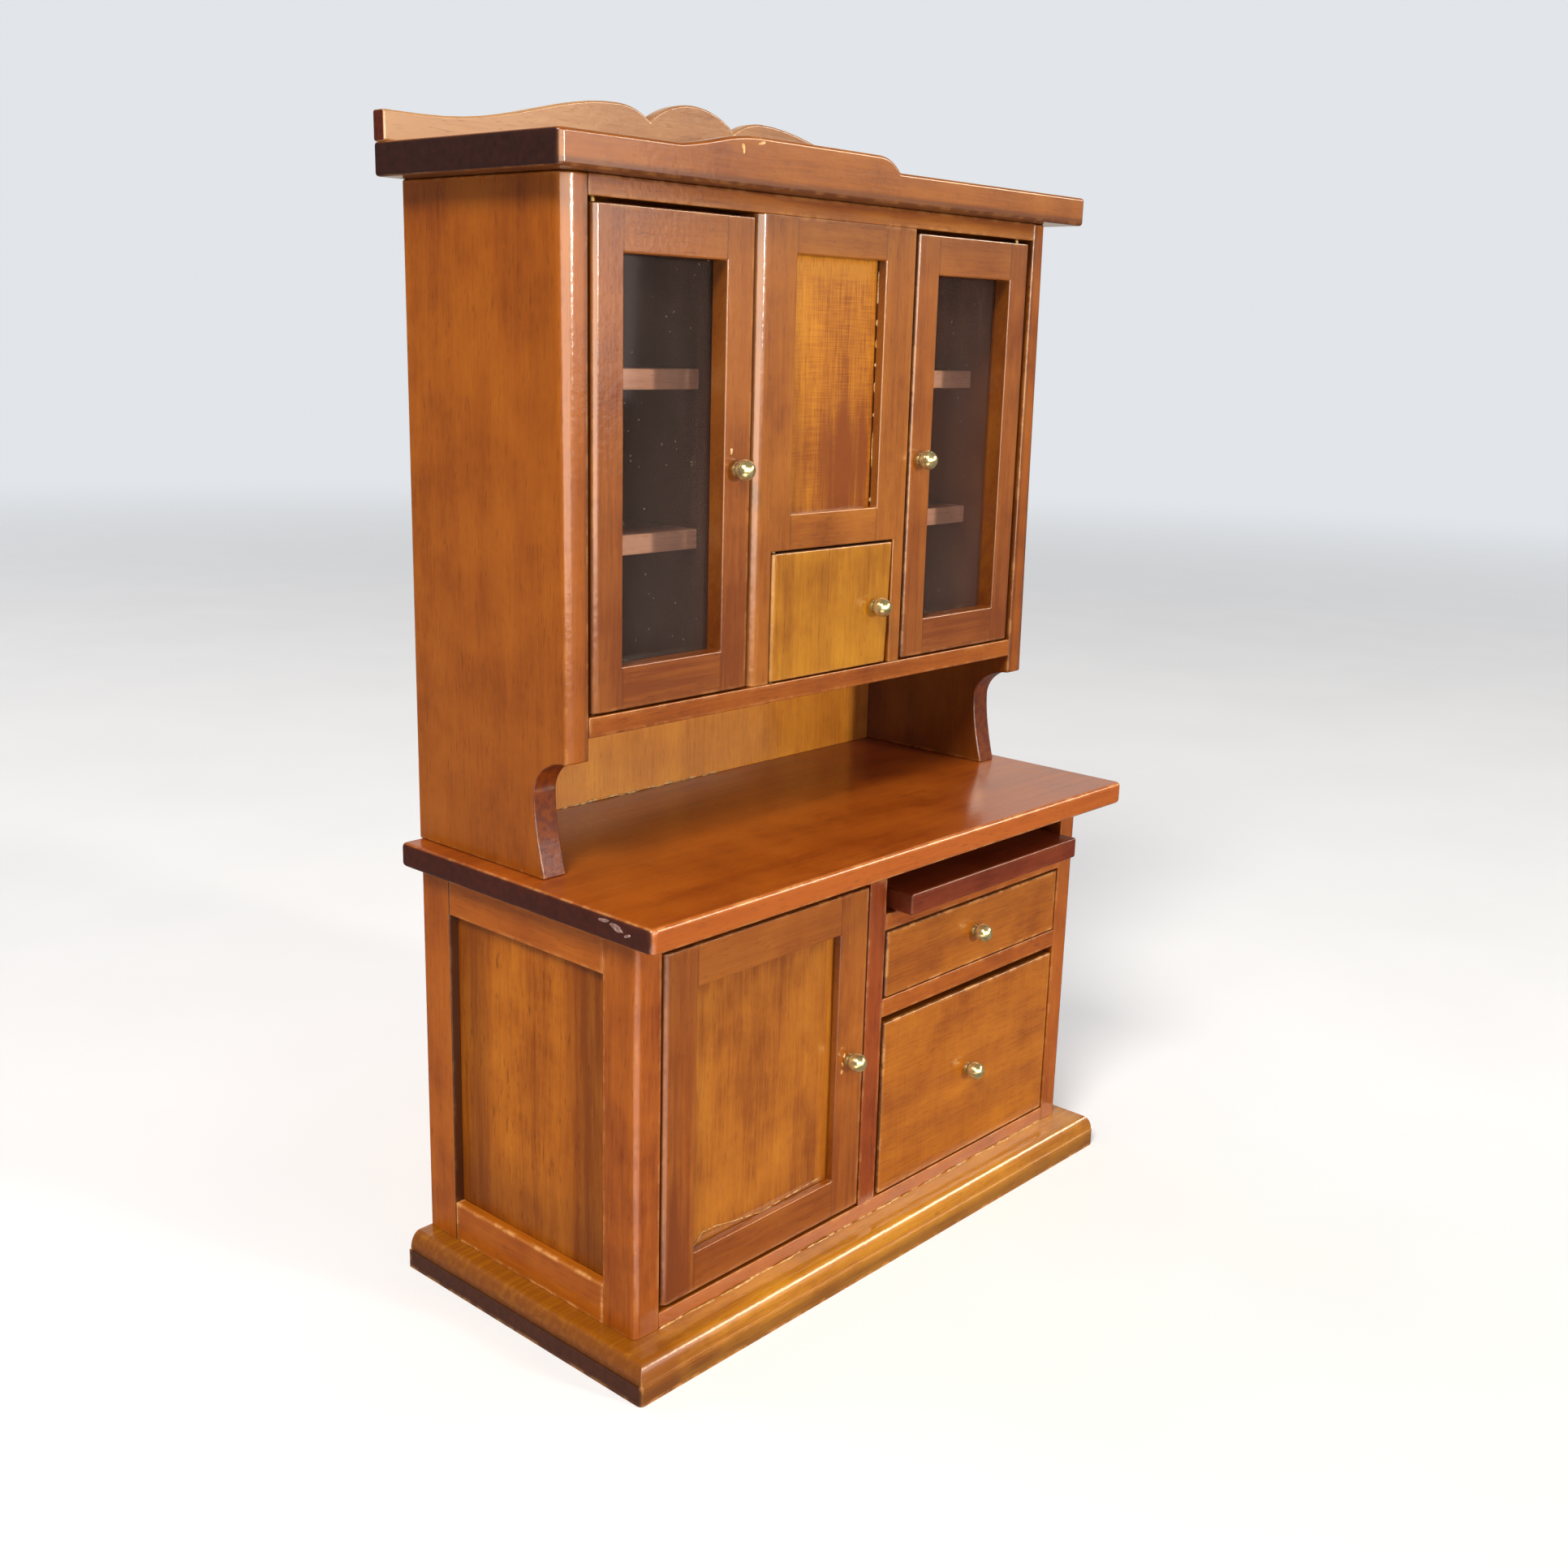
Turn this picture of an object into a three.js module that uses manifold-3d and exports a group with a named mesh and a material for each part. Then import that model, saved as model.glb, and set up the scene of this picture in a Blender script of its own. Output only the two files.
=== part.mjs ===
// A 1:12 dolls house kitchen hutch (dresser) in stained wood, built board by board.
// Lower cabinet: framed door, pull-out board and two drawers under a worktop.
// Upper cabinet: two glazed doors, a fixed centre panel and a small door, under a cornice and gallery.
// Millimetres, +Z up. The front faces -Y, X runs left to right, and the origin is on the ground
// below the middle of the worktop.
import * as THREE from 'three';
import { mergeVertices } from 'three/addons/utils/BufferGeometryUtils.js';
import Module from 'manifold-3d';

const wasm = await Module();
wasm.setup();

// ---------------------------------------------------------------- driving dimensions

// Levels above the ground, from the bottom up
const BASE_TOP = 5.9;
const BASE_NOSE_START = 3.1;
const LOWER_FLOOR_TOP = 8.4;
const DRAWER_SHELF = [40.3, 43.4];
const BOARD_SHELF = [55.1, 57.9];
const LOWER_TOP_UNDERSIDE = 63.9;
const WORKTOP_UNDERSIDE = 67.1;
const WORKTOP_TOP = 70.9;
const UPPER_FLOOR = [91.6, 94.55];
const CENTRE_SHELF_TOP = 118.2;
const SIDE_SHELF_TOPS = [117.4, 141.0];
const UPPER_CEILING_UNDERSIDE = 162.75;
const CORNICE_UNDERSIDE = 165.5;
const CORNICE_TOP = 170.0;

// Whole widths and depths of the storeys; every storey is flush at the back
const BASE_WIDTH = 116.4;
const BASE_DEPTH = 54.0;
const BASE_STEP = 0.3;
const BASE_NOSE_DEPTH = 1.8;
const LOWER_WIDTH = 107.8;
const LOWER_DEPTH = 48.0;
const WORKTOP_WIDTH = 115.0;
const WORKTOP_DEPTH = 54.8;
const WORKTOP_CORNER = 1.2;
const UPPER_WIDTH = 108.2;
const UPPER_DEPTH = 34.0;
const CORNICE_WIDTH = 117.0;
const CORNICE_DEPTH = 38.3;

// Board thicknesses
const BACK_BOARD = 2.0;
const LOWER_SIDE = 4.8;
const UPPER_SIDE = 4.2;
const DOOR_THICKNESS = 4.0;
const SMALL_DOOR_THICKNESS = 2.4;
const SHELF = 3.0;
const PARTITION = 2.8;

// Frames with a panel or pane let in from behind
const REBATE = 1.0;
const PANEL = 1.6;
const GLASS = 0.8;
const SIDE_STILE = 6.8;
const SIDE_BOTTOM_RAIL_TOP = 12.3;
const SIDE_TOP_RAIL_BOTTOM = 60.2;
const SIDE_RECESS = 1.6;

// Front of the lower cabinet
const DIVIDER = [-4.1, 0.0];
const LOWER_DOOR = { left: -48.4, right: -4.5, bottom: 9.0, top: 63.4 };
const LOWER_DOOR_STILE = 6.4;
const LOWER_DOOR_RECESS = 1.4;
const SMALL_DRAWER = { left: 0.7, right: 48.85, bottom: 43.6, top: 54.7, trayHeight: 9.6 };
const LARGE_DRAWER = { left: 0.9, right: 48.7, bottom: 8.7, top: 39.1, trayHeight: 26.0 };
const DRAWER_FRONT = 3.0;
const DRAWER_WALL = 1.8;
const DRAWER_TRAY_LENGTH = 39.0;
const DRAWER_TRAY_SLACK = 0.3;
const PULL_OUT_BOARD = { left: 2.0, right: 48.8, bottom: 58.0, top: 61.6 };
const PULL_OUT_PROUD = 3.6;
const PULL_OUT_LENGTH = 45.4;

// Front of the upper cabinet
const GLAZED_DOOR = { inner: 18.75, outer: 49.2, bottom: 94.85, top: 162.1 };
const GLAZED_STILE = 5.5;
const GLAZED_RAIL = 6.1;
const CENTRE_FRAME = { left: -18.0, right: 18.1, foot: UPPER_FLOOR[1], head: UPPER_CEILING_UNDERSIDE };
const CENTRE_PANEL_WINDOW = { left: -9.6, right: 10.8, bottom: 120.15, top: 157.6 };
const CENTRE_RECESS = 1.6;
const SMALL_OPENING = { left: -13.7, right: 15.3, top: 114.7 };
const SMALL_DOOR = { left: -13.4, rightTop: 15.05, rightBottom: 14.2, bottom: 94.75, top: 114.4 };
const SIDE_SHELF_SETBACK = 11.5;

// Cut-out at the foot of each upper side, above the worktop
const FOOT_CUT = { top: 88.4, depth: 7.0, height: 5.4, footDepth: 29.1, bend: 78.3 };

// Gallery along the back of the cornice, heights above the cornice top
const GALLERY_THICKNESS = 2.4;
const GALLERY = { end: 4.1, crown: 10.7, crownHalf: 8.7, notch: 8.1, grooveDepth: 0.6, hump: 9.5 };
const GALLERY_HUMP_X = 16.0;
const GALLERY_HUMP_LEAD = 3.8;
const GALLERY_FOOT_X = 52.0;
const GALLERY_HUMP_PULL = 12.0;
const GALLERY_FOOT_PULL = 15.6;

// Low crest worked on the front edge of the cornice
const CREST = {
  left: -37.5, flatLeft: -20.5, flatRight: 3.0, right: 8.2, shoulder: 2.0, height: 2.2, depth: 3.0,
};

// Knobs and hinge pins
const KNOB = {
  ball: 1.55, stand: 1.6, neck: 0.75, collar: 1.05, collarHeight: 0.25, spigot: 0.4, spigotLength: 1.6,
};
const KNOB_SEGMENTS = 24;
const LOWER_KNOB_Z = 35.4;
const GLAZED_KNOB_Z = 127.2;
const SMALL_KNOB = { x: 11.2, z: 104.2 };
const PIN_RADIUS = 0.5;
const PIN_SEGMENTS = 12;
const PIN_IN_DOOR = 3.0;
const PIN_IN_CARCASS = 2.0;
const HOLE_CLEARANCE = 0.1;
const HINGE_INSET = 1.6;
const SMALL_HINGE_INSET = 1.2;
const HINGE_ROUNDING = 1.2;
const SMALL_HINGE_ROUNDING = 0.9;
const ARC_STEPS = 12;
const FIT = 0.1;
const BEYOND = 1.0; // how far a cutting tool, or a piece being joined on, runs past the face it meets

// ---------------------------------------------------------------- derived places

const BACK_Y = WORKTOP_DEPTH / 2;
const fromBack = (depth) => BACK_Y - depth;
const LOWER_FRONT = fromBack(LOWER_DEPTH);
const UPPER_FRONT = fromBack(UPPER_DEPTH);
const BACK_BOARD_FRONT = fromBack(BACK_BOARD);
const LOWER_INNER = LOWER_WIDTH / 2 - LOWER_SIDE;
const UPPER_INNER = UPPER_WIDTH / 2 - UPPER_SIDE;

// ---------------------------------------------------------------- materials

const wood = (colour) => () => new THREE.MeshStandardMaterial({ color: colour, roughness: 0.42, metalness: 0 });
const honeyWood = wood(0xa9632b);
const pinkWood = wood(0xb06f45);
const goldenWood = wood(0xb4702c);
const darkWood = wood(0x6b3016);
const paleWood = wood(0xb98a55);
const brass = () => new THREE.MeshStandardMaterial({ color: 0xb59a55, roughness: 0.25, metalness: 1 });
const glass = () => {
  const material = new THREE.MeshStandardMaterial({ color: 0xdfe4e2, roughness: 0.05, metalness: 0 });
  material.transparent = true;
  material.opacity = 0.25;
  return material;
};

const hutch = new THREE.Group();

function addPiece(name, geometry, makeMaterial) {
  const mesh = new THREE.Mesh(geometry, makeMaterial());
  mesh.name = name;
  hutch.add(mesh);
}

// ---------------------------------------------------------------- shape helpers

// A board from its lowest and highest x, y and z
function board(xRange, yRange, zRange) {
  const size = [xRange, yRange, zRange].map(([low, high]) => high - low);
  const middle = [xRange, yRange, zRange].map(([low, high]) => (low + high) / 2);
  return new THREE.BoxGeometry(...size).translate(...middle);
}

function polygon(points) {
  const shape = new THREE.Shape();
  points.forEach(([u, v], index) => (index === 0 ? shape.moveTo(u, v) : shape.lineTo(u, v)));
  shape.closePath();
  return shape;
}

const rectangle = (left, right, low, high) => polygon([
  [left, low], [right, low], [right, high], [left, high],
]);

function extrude(shape, depth) {
  return new THREE.ExtrudeGeometry(shape, { depth, bevelEnabled: false, curveSegments: ARC_STEPS });
}

const X_AXIS = new THREE.Vector3(1, 0, 0);
const Y_AXIS = new THREE.Vector3(0, 1, 0);
const Z_AXIS = new THREE.Vector3(0, 0, 1);

// An outline in y and z, carried from one x to another
function alongX(shape, [startX, endX]) {
  const turn = new THREE.Matrix4().makeBasis(Y_AXIS, Z_AXIS, X_AXIS);
  return extrude(shape, endX - startX).applyMatrix4(turn).translate(startX, 0, 0);
}

// An outline in x and z, carried forwards from its back face
function towardsFront(shape, backY, depth) {
  const turn = new THREE.Matrix4().makeBasis(X_AXIS, Z_AXIS, Y_AXIS.clone().negate());
  return extrude(shape, depth).applyMatrix4(turn).translate(0, backY, 0);
}

// An outline in x and y, carried upwards
function upwards(shape, [startZ, endZ]) {
  return extrude(shape, endZ - startZ).translate(0, 0, startZ);
}

function toSolid(geometry) {
  const bare = geometry.clone();
  bare.deleteAttribute('normal');
  bare.deleteAttribute('uv');
  const merged = mergeVertices(bare, 1e-5);
  return new wasm.Manifold(new wasm.Mesh({
    numProp: 3,
    vertProperties: new Float32Array(merged.attributes.position.array),
    triVerts: new Uint32Array(merged.index.array),
  }));
}

function toGeometry(solid) {
  const mesh = solid.getMesh();
  const geometry = new THREE.BufferGeometry();
  geometry.setAttribute('position', new THREE.BufferAttribute(mesh.vertProperties, 3));
  geometry.setIndex(new THREE.BufferAttribute(mesh.triVerts, 1));
  return geometry;
}

const cut = (geometry, ...tools) =>
  toGeometry(tools.reduce((solid, tool) => solid.subtract(toSolid(tool)), toSolid(geometry)));
const join = (first, second) => toGeometry(toSolid(first).add(toSolid(second)));

function uprightCylinder(radius, x, y, [low, high]) {
  const geometry = new THREE.CylinderGeometry(radius, radius, high - low, PIN_SEGMENTS);
  return geometry.rotateX(Math.PI / 2).translate(x, y, (low + high) / 2);
}

// A hole for a hinge pin, running vertically from one level to another
const pinHole = (x, y, levels) => uprightCylinder(PIN_RADIUS + HOLE_CLEARANCE, x, y, levels);

// A blind hole for a knob's spigot, bored into a front face
function knobHole({ x, z, faceY }) {
  const radius = KNOB.spigot + HOLE_CLEARANCE;
  const length = KNOB.spigotLength + HOLE_CLEARANCE;
  return new THREE.CylinderGeometry(radius, radius, 2 * length, PIN_SEGMENTS).translate(x, faceY, z);
}

// ---------------------------------------------------------------- knobs and pins

// A turned ball on a short neck and collar, with a spigot that is glued into the wood
function addKnob(name, { x, z, faceY }) {
  const profile = [
    [0, -KNOB.spigotLength],
    [KNOB.spigot, -KNOB.spigotLength],
    [KNOB.spigot, 0],
    [KNOB.collar, 0],
    [KNOB.collar, KNOB.collarHeight],
    [KNOB.neck, KNOB.collarHeight],
  ];
  const ballCentre = KNOB.stand;
  const startAngle = Math.asin(KNOB.neck / KNOB.ball);
  const steps = KNOB_SEGMENTS / 2;
  for (let step = 0; step <= steps; step += 1) {
    const angle = startAngle + (Math.PI - startAngle) * (step / steps);
    const radius = step === steps ? 0 : KNOB.ball * Math.sin(angle);
    profile.push([radius, ballCentre - KNOB.ball * Math.cos(angle)]);
  }
  const points = profile.map(([radius, height]) => new THREE.Vector2(radius, height));
  const turned = new THREE.LatheGeometry(points, KNOB_SEGMENTS);
  turned.rotateX(Math.PI).translate(x, faceY, z);
  addPiece(name, turned, brass);
}

// The two pins that a door turns on, each let into the door and into the board above or below it
function addHingePins(name, x, y, door, carcassBelow, carcassAbove) {
  const lower = [carcassBelow - PIN_IN_CARCASS + FIT, door.bottom + PIN_IN_DOOR - FIT];
  const upper = [door.top - PIN_IN_DOOR + FIT, carcassAbove + PIN_IN_CARCASS - FIT];
  addPiece(`${name}_lower_pin`, uprightCylinder(PIN_RADIUS, x, y, lower), brass);
  addPiece(`${name}_upper_pin`, uprightCylinder(PIN_RADIUS, x, y, upper), brass);
}

// The blind holes in the ends of a door that take its two pins
function doorPinHoles(x, y, door) {
  return [
    pinHole(x, y, [door.bottom - FIT, door.bottom + PIN_IN_DOOR]),
    pinHole(x, y, [door.top - PIN_IN_DOOR, door.top + FIT]),
  ];
}

// ---------------------------------------------------------------- hinges and knobs by place

const HINGES = {
  lower: { x: LOWER_DOOR.left + HINGE_INSET, y: LOWER_FRONT + DOOR_THICKNESS / 2 },
  left: { x: -GLAZED_DOOR.outer + HINGE_INSET, y: UPPER_FRONT + DOOR_THICKNESS / 2 },
  right: { x: GLAZED_DOOR.outer - HINGE_INSET, y: UPPER_FRONT + DOOR_THICKNESS / 2 },
  small: { x: SMALL_DOOR.left + SMALL_HINGE_INSET, y: UPPER_FRONT + SMALL_DOOR_THICKNESS / 2 },
};

const middleOf = (low, high) => (low + high) / 2;
const KNOBS = {
  lower: { x: LOWER_DOOR.right - LOWER_DOOR_STILE / 2, z: LOWER_KNOB_Z, faceY: LOWER_FRONT },
  left: { x: -GLAZED_DOOR.inner - GLAZED_STILE / 2, z: GLAZED_KNOB_Z, faceY: UPPER_FRONT },
  right: { x: GLAZED_DOOR.inner + GLAZED_STILE / 2, z: GLAZED_KNOB_Z, faceY: UPPER_FRONT },
  small: { x: SMALL_KNOB.x, z: SMALL_KNOB.z, faceY: UPPER_FRONT },
  smallDrawer: {
    x: middleOf(SMALL_DRAWER.left, SMALL_DRAWER.right),
    z: middleOf(SMALL_DRAWER.bottom, SMALL_DRAWER.top),
    faceY: LOWER_FRONT,
  },
  largeDrawer: {
    x: middleOf(LARGE_DRAWER.left, LARGE_DRAWER.right),
    z: middleOf(LARGE_DRAWER.bottom, LARGE_DRAWER.top),
    faceY: LOWER_FRONT,
  },
};

// ---------------------------------------------------------------- base and lower carcass

// A board whose front and side edges are rounded over at the top, above a small step
function addBaseBoard() {
  const noseHeight = BASE_TOP - BASE_NOSE_START;
  const rings = [[0, 0], [0, BASE_NOSE_START]];
  for (let ring = 0; ring <= ARC_STEPS; ring += 1) {
    const angle = (ring / ARC_STEPS) * (Math.PI / 2);
    const inset = BASE_STEP + BASE_NOSE_DEPTH * (1 - Math.cos(angle));
    rings.push([inset, BASE_NOSE_START + noseHeight * Math.sin(angle)]);
  }
  addPiece('base_board', stackedRings(BASE_WIDTH / 2, fromBack(BASE_DEPTH), rings), goldenWood);
}

// A solid whose plan is a rectangle at every level, drawn in on the front and both sides.
// rings lists [inset, level] from the bottom up.
function stackedRings(half, front, rings) {
  const positions = [];
  for (const [inset, level] of rings) {
    const x = half - inset;
    const y = front + inset;
    positions.push(-x, y, level, x, y, level, x, BACK_Y, level, -x, BACK_Y, level);
  }
  const corners = 4;
  const top = (rings.length - 1) * corners;
  const faces = [0, 2, 1, 0, 3, 2, top, top + 1, top + 2, top, top + 2, top + 3];
  for (let ring = 0; ring < rings.length - 1; ring += 1) {
    for (let corner = 0; corner < corners; corner += 1) {
      const next = (corner + 1) % corners;
      const a = ring * corners + corner;
      const b = ring * corners + next;
      faces.push(a, b, b + corners, a, b + corners, a + corners);
    }
  }
  const geometry = new THREE.BufferGeometry();
  geometry.setAttribute('position', new THREE.Float32BufferAttribute(positions, 3));
  geometry.setIndex(faces);
  return geometry;
}

// One framed side: two stiles, two rails and a panel let in from the inside
function addLowerSide(side, sign) {
  const outer = sign * LOWER_WIDTH / 2;
  const inner = sign * LOWER_INNER;
  const ledge = outer - sign * SIDE_RECESS;
  const span = [BASE_TOP, WORKTOP_UNDERSIDE];
  const frontStileBack = LOWER_FRONT + SIDE_STILE;
  const backStileFront = BACK_Y - SIDE_STILE;
  const ordered = (a, b) => [Math.min(a, b), Math.max(a, b)];
  const stile = (outerY, openingY) => {
    const rebateY = openingY + Math.sign(outerY - openingY) * REBATE;
    return polygon([
      [inner, outerY], [outer, outerY], [outer, openingY],
      [ledge, openingY], [ledge, rebateY], [inner, rebateY],
    ]);
  };
  const rail = (outerZ, openingZ) => {
    const rebateZ = openingZ + Math.sign(outerZ - openingZ) * REBATE;
    return polygon([
      [inner, outerZ], [outer, outerZ], [outer, openingZ],
      [ledge, openingZ], [ledge, rebateZ], [inner, rebateZ],
    ]);
  };
  const railLength = backStileFront - frontStileBack;
  addPiece(`${side}_front_stile`, upwards(stile(LOWER_FRONT, frontStileBack), span), honeyWood);
  addPiece(`${side}_back_stile`, upwards(stile(BACK_Y, backStileFront), span), honeyWood);
  addPiece(`${side}_top_rail`,
    towardsFront(rail(WORKTOP_UNDERSIDE, SIDE_TOP_RAIL_BOTTOM), backStileFront, railLength), honeyWood);
  addPiece(`${side}_bottom_rail`,
    towardsFront(rail(BASE_TOP, SIDE_BOTTOM_RAIL_TOP), backStileFront, railLength), honeyWood);
  addPiece(`${side}_panel`, board(
    ordered(ledge, ledge - sign * PANEL),
    [frontStileBack - REBATE + FIT, backStileFront + REBATE - FIT],
    [SIDE_BOTTOM_RAIL_TOP - REBATE + FIT, SIDE_TOP_RAIL_BOTTOM + REBATE - FIT],
  ), goldenWood);
}

function addLowerCarcass() {
  const inside = [-LOWER_INNER, LOWER_INNER];
  const depth = [LOWER_FRONT, BACK_BOARD_FRONT];
  const hinge = HINGES.lower;
  addPiece('lower_floor', cut(
    board(inside, depth, [BASE_TOP, LOWER_FLOOR_TOP]),
    pinHole(hinge.x, hinge.y, [LOWER_FLOOR_TOP - PIN_IN_CARCASS, LOWER_FLOOR_TOP + FIT]),
  ), honeyWood);
  addPiece('lower_top', cut(
    board(inside, depth, [LOWER_TOP_UNDERSIDE, WORKTOP_UNDERSIDE]),
    pinHole(hinge.x, hinge.y, [LOWER_TOP_UNDERSIDE - FIT, LOWER_TOP_UNDERSIDE + PIN_IN_CARCASS]),
  ), honeyWood);
  addPiece('lower_divider', board(DIVIDER, depth, [LOWER_FLOOR_TOP, LOWER_TOP_UNDERSIDE]), honeyWood);
  const rightBay = [DIVIDER[1], LOWER_INNER];
  addPiece('drawer_shelf', board(rightBay, depth, DRAWER_SHELF), honeyWood);
  addPiece('board_shelf', board(rightBay, depth, BOARD_SHELF), honeyWood);
  addPiece('lower_back', board(inside, [BACK_BOARD_FRONT, BACK_Y], [BASE_TOP, WORKTOP_UNDERSIDE]), paleWood);
}

function addWorktop() {
  const half = WORKTOP_WIDTH / 2;
  const front = fromBack(WORKTOP_DEPTH);
  const corner = WORKTOP_CORNER;
  const outline = new THREE.Shape();
  outline.moveTo(-half, BACK_Y);
  outline.lineTo(-half, front + corner);
  outline.absarc(-half + corner, front + corner, corner, Math.PI, 1.5 * Math.PI, false);
  outline.lineTo(half - corner, front);
  outline.absarc(half - corner, front + corner, corner, 1.5 * Math.PI, 2 * Math.PI, false);
  outline.lineTo(half, BACK_Y);
  outline.closePath();
  addPiece('worktop', upwards(outline, [WORKTOP_UNDERSIDE, WORKTOP_TOP]), honeyWood);
}

// ---------------------------------------------------------------- doors

// The plan of a door: square but for the front corner beside its hinge, which is rounded to
// clear the carcass as the door swings. sign is -1 where the hinge is on the left.
function doorPlan(hingeX, freeX, frontY, thickness, rounding) {
  const sign = Math.sign(hingeX - freeX);
  const plan = new THREE.Shape();
  plan.moveTo(freeX, frontY);
  plan.lineTo(hingeX - sign * rounding, frontY);
  const from = -Math.PI / 2;
  const to = sign > 0 ? 0 : -Math.PI;
  plan.absarc(hingeX - sign * rounding, frontY + rounding, rounding, from, to, sign < 0);
  plan.lineTo(hingeX, frontY + thickness);
  plan.lineTo(freeX, frontY + thickness);
  plan.closePath();
  return plan;
}

// The tools that open a window in a door and rebate it from behind
function windowCuts(window, frontY, backY, rebateDepth) {
  const across = [frontY - BEYOND, backY + BEYOND];
  const through = board([window.left, window.right], across, [window.bottom, window.top]);
  const rebate = board(
    [window.left - REBATE, window.right + REBATE],
    [backY - rebateDepth, backY + BEYOND],
    [window.bottom - REBATE, window.top + REBATE],
  );
  return [through, rebate];
}

// The panel or pane that lies in a window's rebate
function windowFill(window, frontY, thickness) {
  const spare = REBATE - FIT;
  return board(
    [window.left - spare, window.right + spare],
    [frontY, frontY + thickness],
    [window.bottom - spare, window.top + spare],
  );
}

function addLowerDoor() {
  const backY = LOWER_FRONT + DOOR_THICKNESS;
  const window = {
    left: LOWER_DOOR.left + LOWER_DOOR_STILE,
    right: LOWER_DOOR.right - LOWER_DOOR_STILE,
    bottom: LOWER_DOOR.bottom + LOWER_DOOR_STILE,
    top: LOWER_DOOR.top - LOWER_DOOR_STILE,
  };
  const plan = doorPlan(LOWER_DOOR.left, LOWER_DOOR.right, LOWER_FRONT, DOOR_THICKNESS, HINGE_ROUNDING);
  addPiece('lower_door_frame', cut(
    upwards(plan, [LOWER_DOOR.bottom, LOWER_DOOR.top]),
    ...windowCuts(window, LOWER_FRONT, backY, DOOR_THICKNESS - LOWER_DOOR_RECESS),
    ...doorPinHoles(HINGES.lower.x, HINGES.lower.y, LOWER_DOOR),
    knobHole(KNOBS.lower),
  ), pinkWood);
  addPiece('lower_door_panel', windowFill(window, LOWER_FRONT + LOWER_DOOR_RECESS, PANEL), goldenWood);
  addKnob('lower_door_knob', KNOBS.lower);
  addHingePins(
    'lower_door', HINGES.lower.x, HINGES.lower.y, LOWER_DOOR, LOWER_FLOOR_TOP, LOWER_TOP_UNDERSIDE);
}

function addGlazedDoor(side, sign) {
  const backY = UPPER_FRONT + DOOR_THICKNESS;
  const edges = [sign * (GLAZED_DOOR.inner + GLAZED_STILE), sign * (GLAZED_DOOR.outer - GLAZED_STILE)];
  const window = {
    left: Math.min(...edges),
    right: Math.max(...edges),
    bottom: GLAZED_DOOR.bottom + GLAZED_RAIL,
    top: GLAZED_DOOR.top - GLAZED_RAIL,
  };
  const hinge = HINGES[side];
  const plan = doorPlan(
    sign * GLAZED_DOOR.outer, sign * GLAZED_DOOR.inner, UPPER_FRONT, DOOR_THICKNESS, HINGE_ROUNDING);
  addPiece(`${side}_glazed_door_frame`, cut(
    upwards(plan, [GLAZED_DOOR.bottom, GLAZED_DOOR.top]),
    ...windowCuts(window, UPPER_FRONT, backY, REBATE),
    ...doorPinHoles(hinge.x, hinge.y, GLAZED_DOOR),
    knobHole(KNOBS[side]),
  ), pinkWood);
  addPiece(`${side}_glazed_door_pane`, windowFill(window, backY - REBATE, GLASS), glass);
  addKnob(`${side}_glazed_door_knob`, KNOBS[side]);
  addHingePins(`${side}_glazed_door`, hinge.x, hinge.y, GLAZED_DOOR, UPPER_FLOOR[1], UPPER_CEILING_UNDERSIDE);
}

// A plain slab, planed a little narrower at the bottom of its free edge
function addSmallDoor() {
  const { left, rightTop, rightBottom, bottom, top } = SMALL_DOOR;
  const backY = UPPER_FRONT + SMALL_DOOR_THICKNESS;
  const plan = doorPlan(left, rightTop, UPPER_FRONT, SMALL_DOOR_THICKNESS, SMALL_HINGE_ROUNDING);
  const planedOff = polygon([
    [rightBottom, bottom - FIT], [rightTop + BEYOND, bottom - FIT], [rightTop + BEYOND, top], [rightTop, top],
  ]);
  addPiece('small_door', cut(
    upwards(plan, [bottom, top]),
    towardsFront(planedOff, backY + BEYOND, SMALL_DOOR_THICKNESS + 2 * BEYOND),
    ...doorPinHoles(HINGES.small.x, HINGES.small.y, SMALL_DOOR),
    knobHole(KNOBS.small),
  ), goldenWood);
  addKnob('small_door_knob', KNOBS.small);
  addHingePins('small_door', HINGES.small.x, HINGES.small.y, SMALL_DOOR, UPPER_FLOOR[1], SMALL_OPENING.top);
}

// ---------------------------------------------------------------- drawers and pull-out board

// A flush front with a knob, and an open-topped tray glued behind it
function addDrawer(name, front, knob) {
  const frontBack = LOWER_FRONT + DRAWER_FRONT;
  const trayBack = frontBack + DRAWER_TRAY_LENGTH;
  const left = front.left + DRAWER_TRAY_SLACK;
  const right = front.right - DRAWER_TRAY_SLACK;
  addPiece(`${name}_front`, cut(
    board([front.left, front.right], [LOWER_FRONT, frontBack], [front.bottom, front.top]),
    knobHole(knob),
  ), goldenWood);
  addPiece(`${name}_tray`, cut(
    board([left, right], [frontBack, trayBack], [front.bottom, front.bottom + front.trayHeight]),
    board(
      [left + DRAWER_WALL, right - DRAWER_WALL],
      [frontBack - BEYOND, trayBack - DRAWER_WALL],
      [front.bottom + DRAWER_WALL, front.top + BEYOND],
    ),
  ), paleWood);
  addKnob(`${name}_knob`, knob);
}

function addPullOutBoard() {
  const front = LOWER_FRONT - PULL_OUT_PROUD;
  addPiece('pull_out_board', board(
    [PULL_OUT_BOARD.left, PULL_OUT_BOARD.right],
    [front, front + PULL_OUT_LENGTH],
    [PULL_OUT_BOARD.bottom, PULL_OUT_BOARD.top],
  ), darkWood);
}

// ---------------------------------------------------------------- upper carcass

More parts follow.
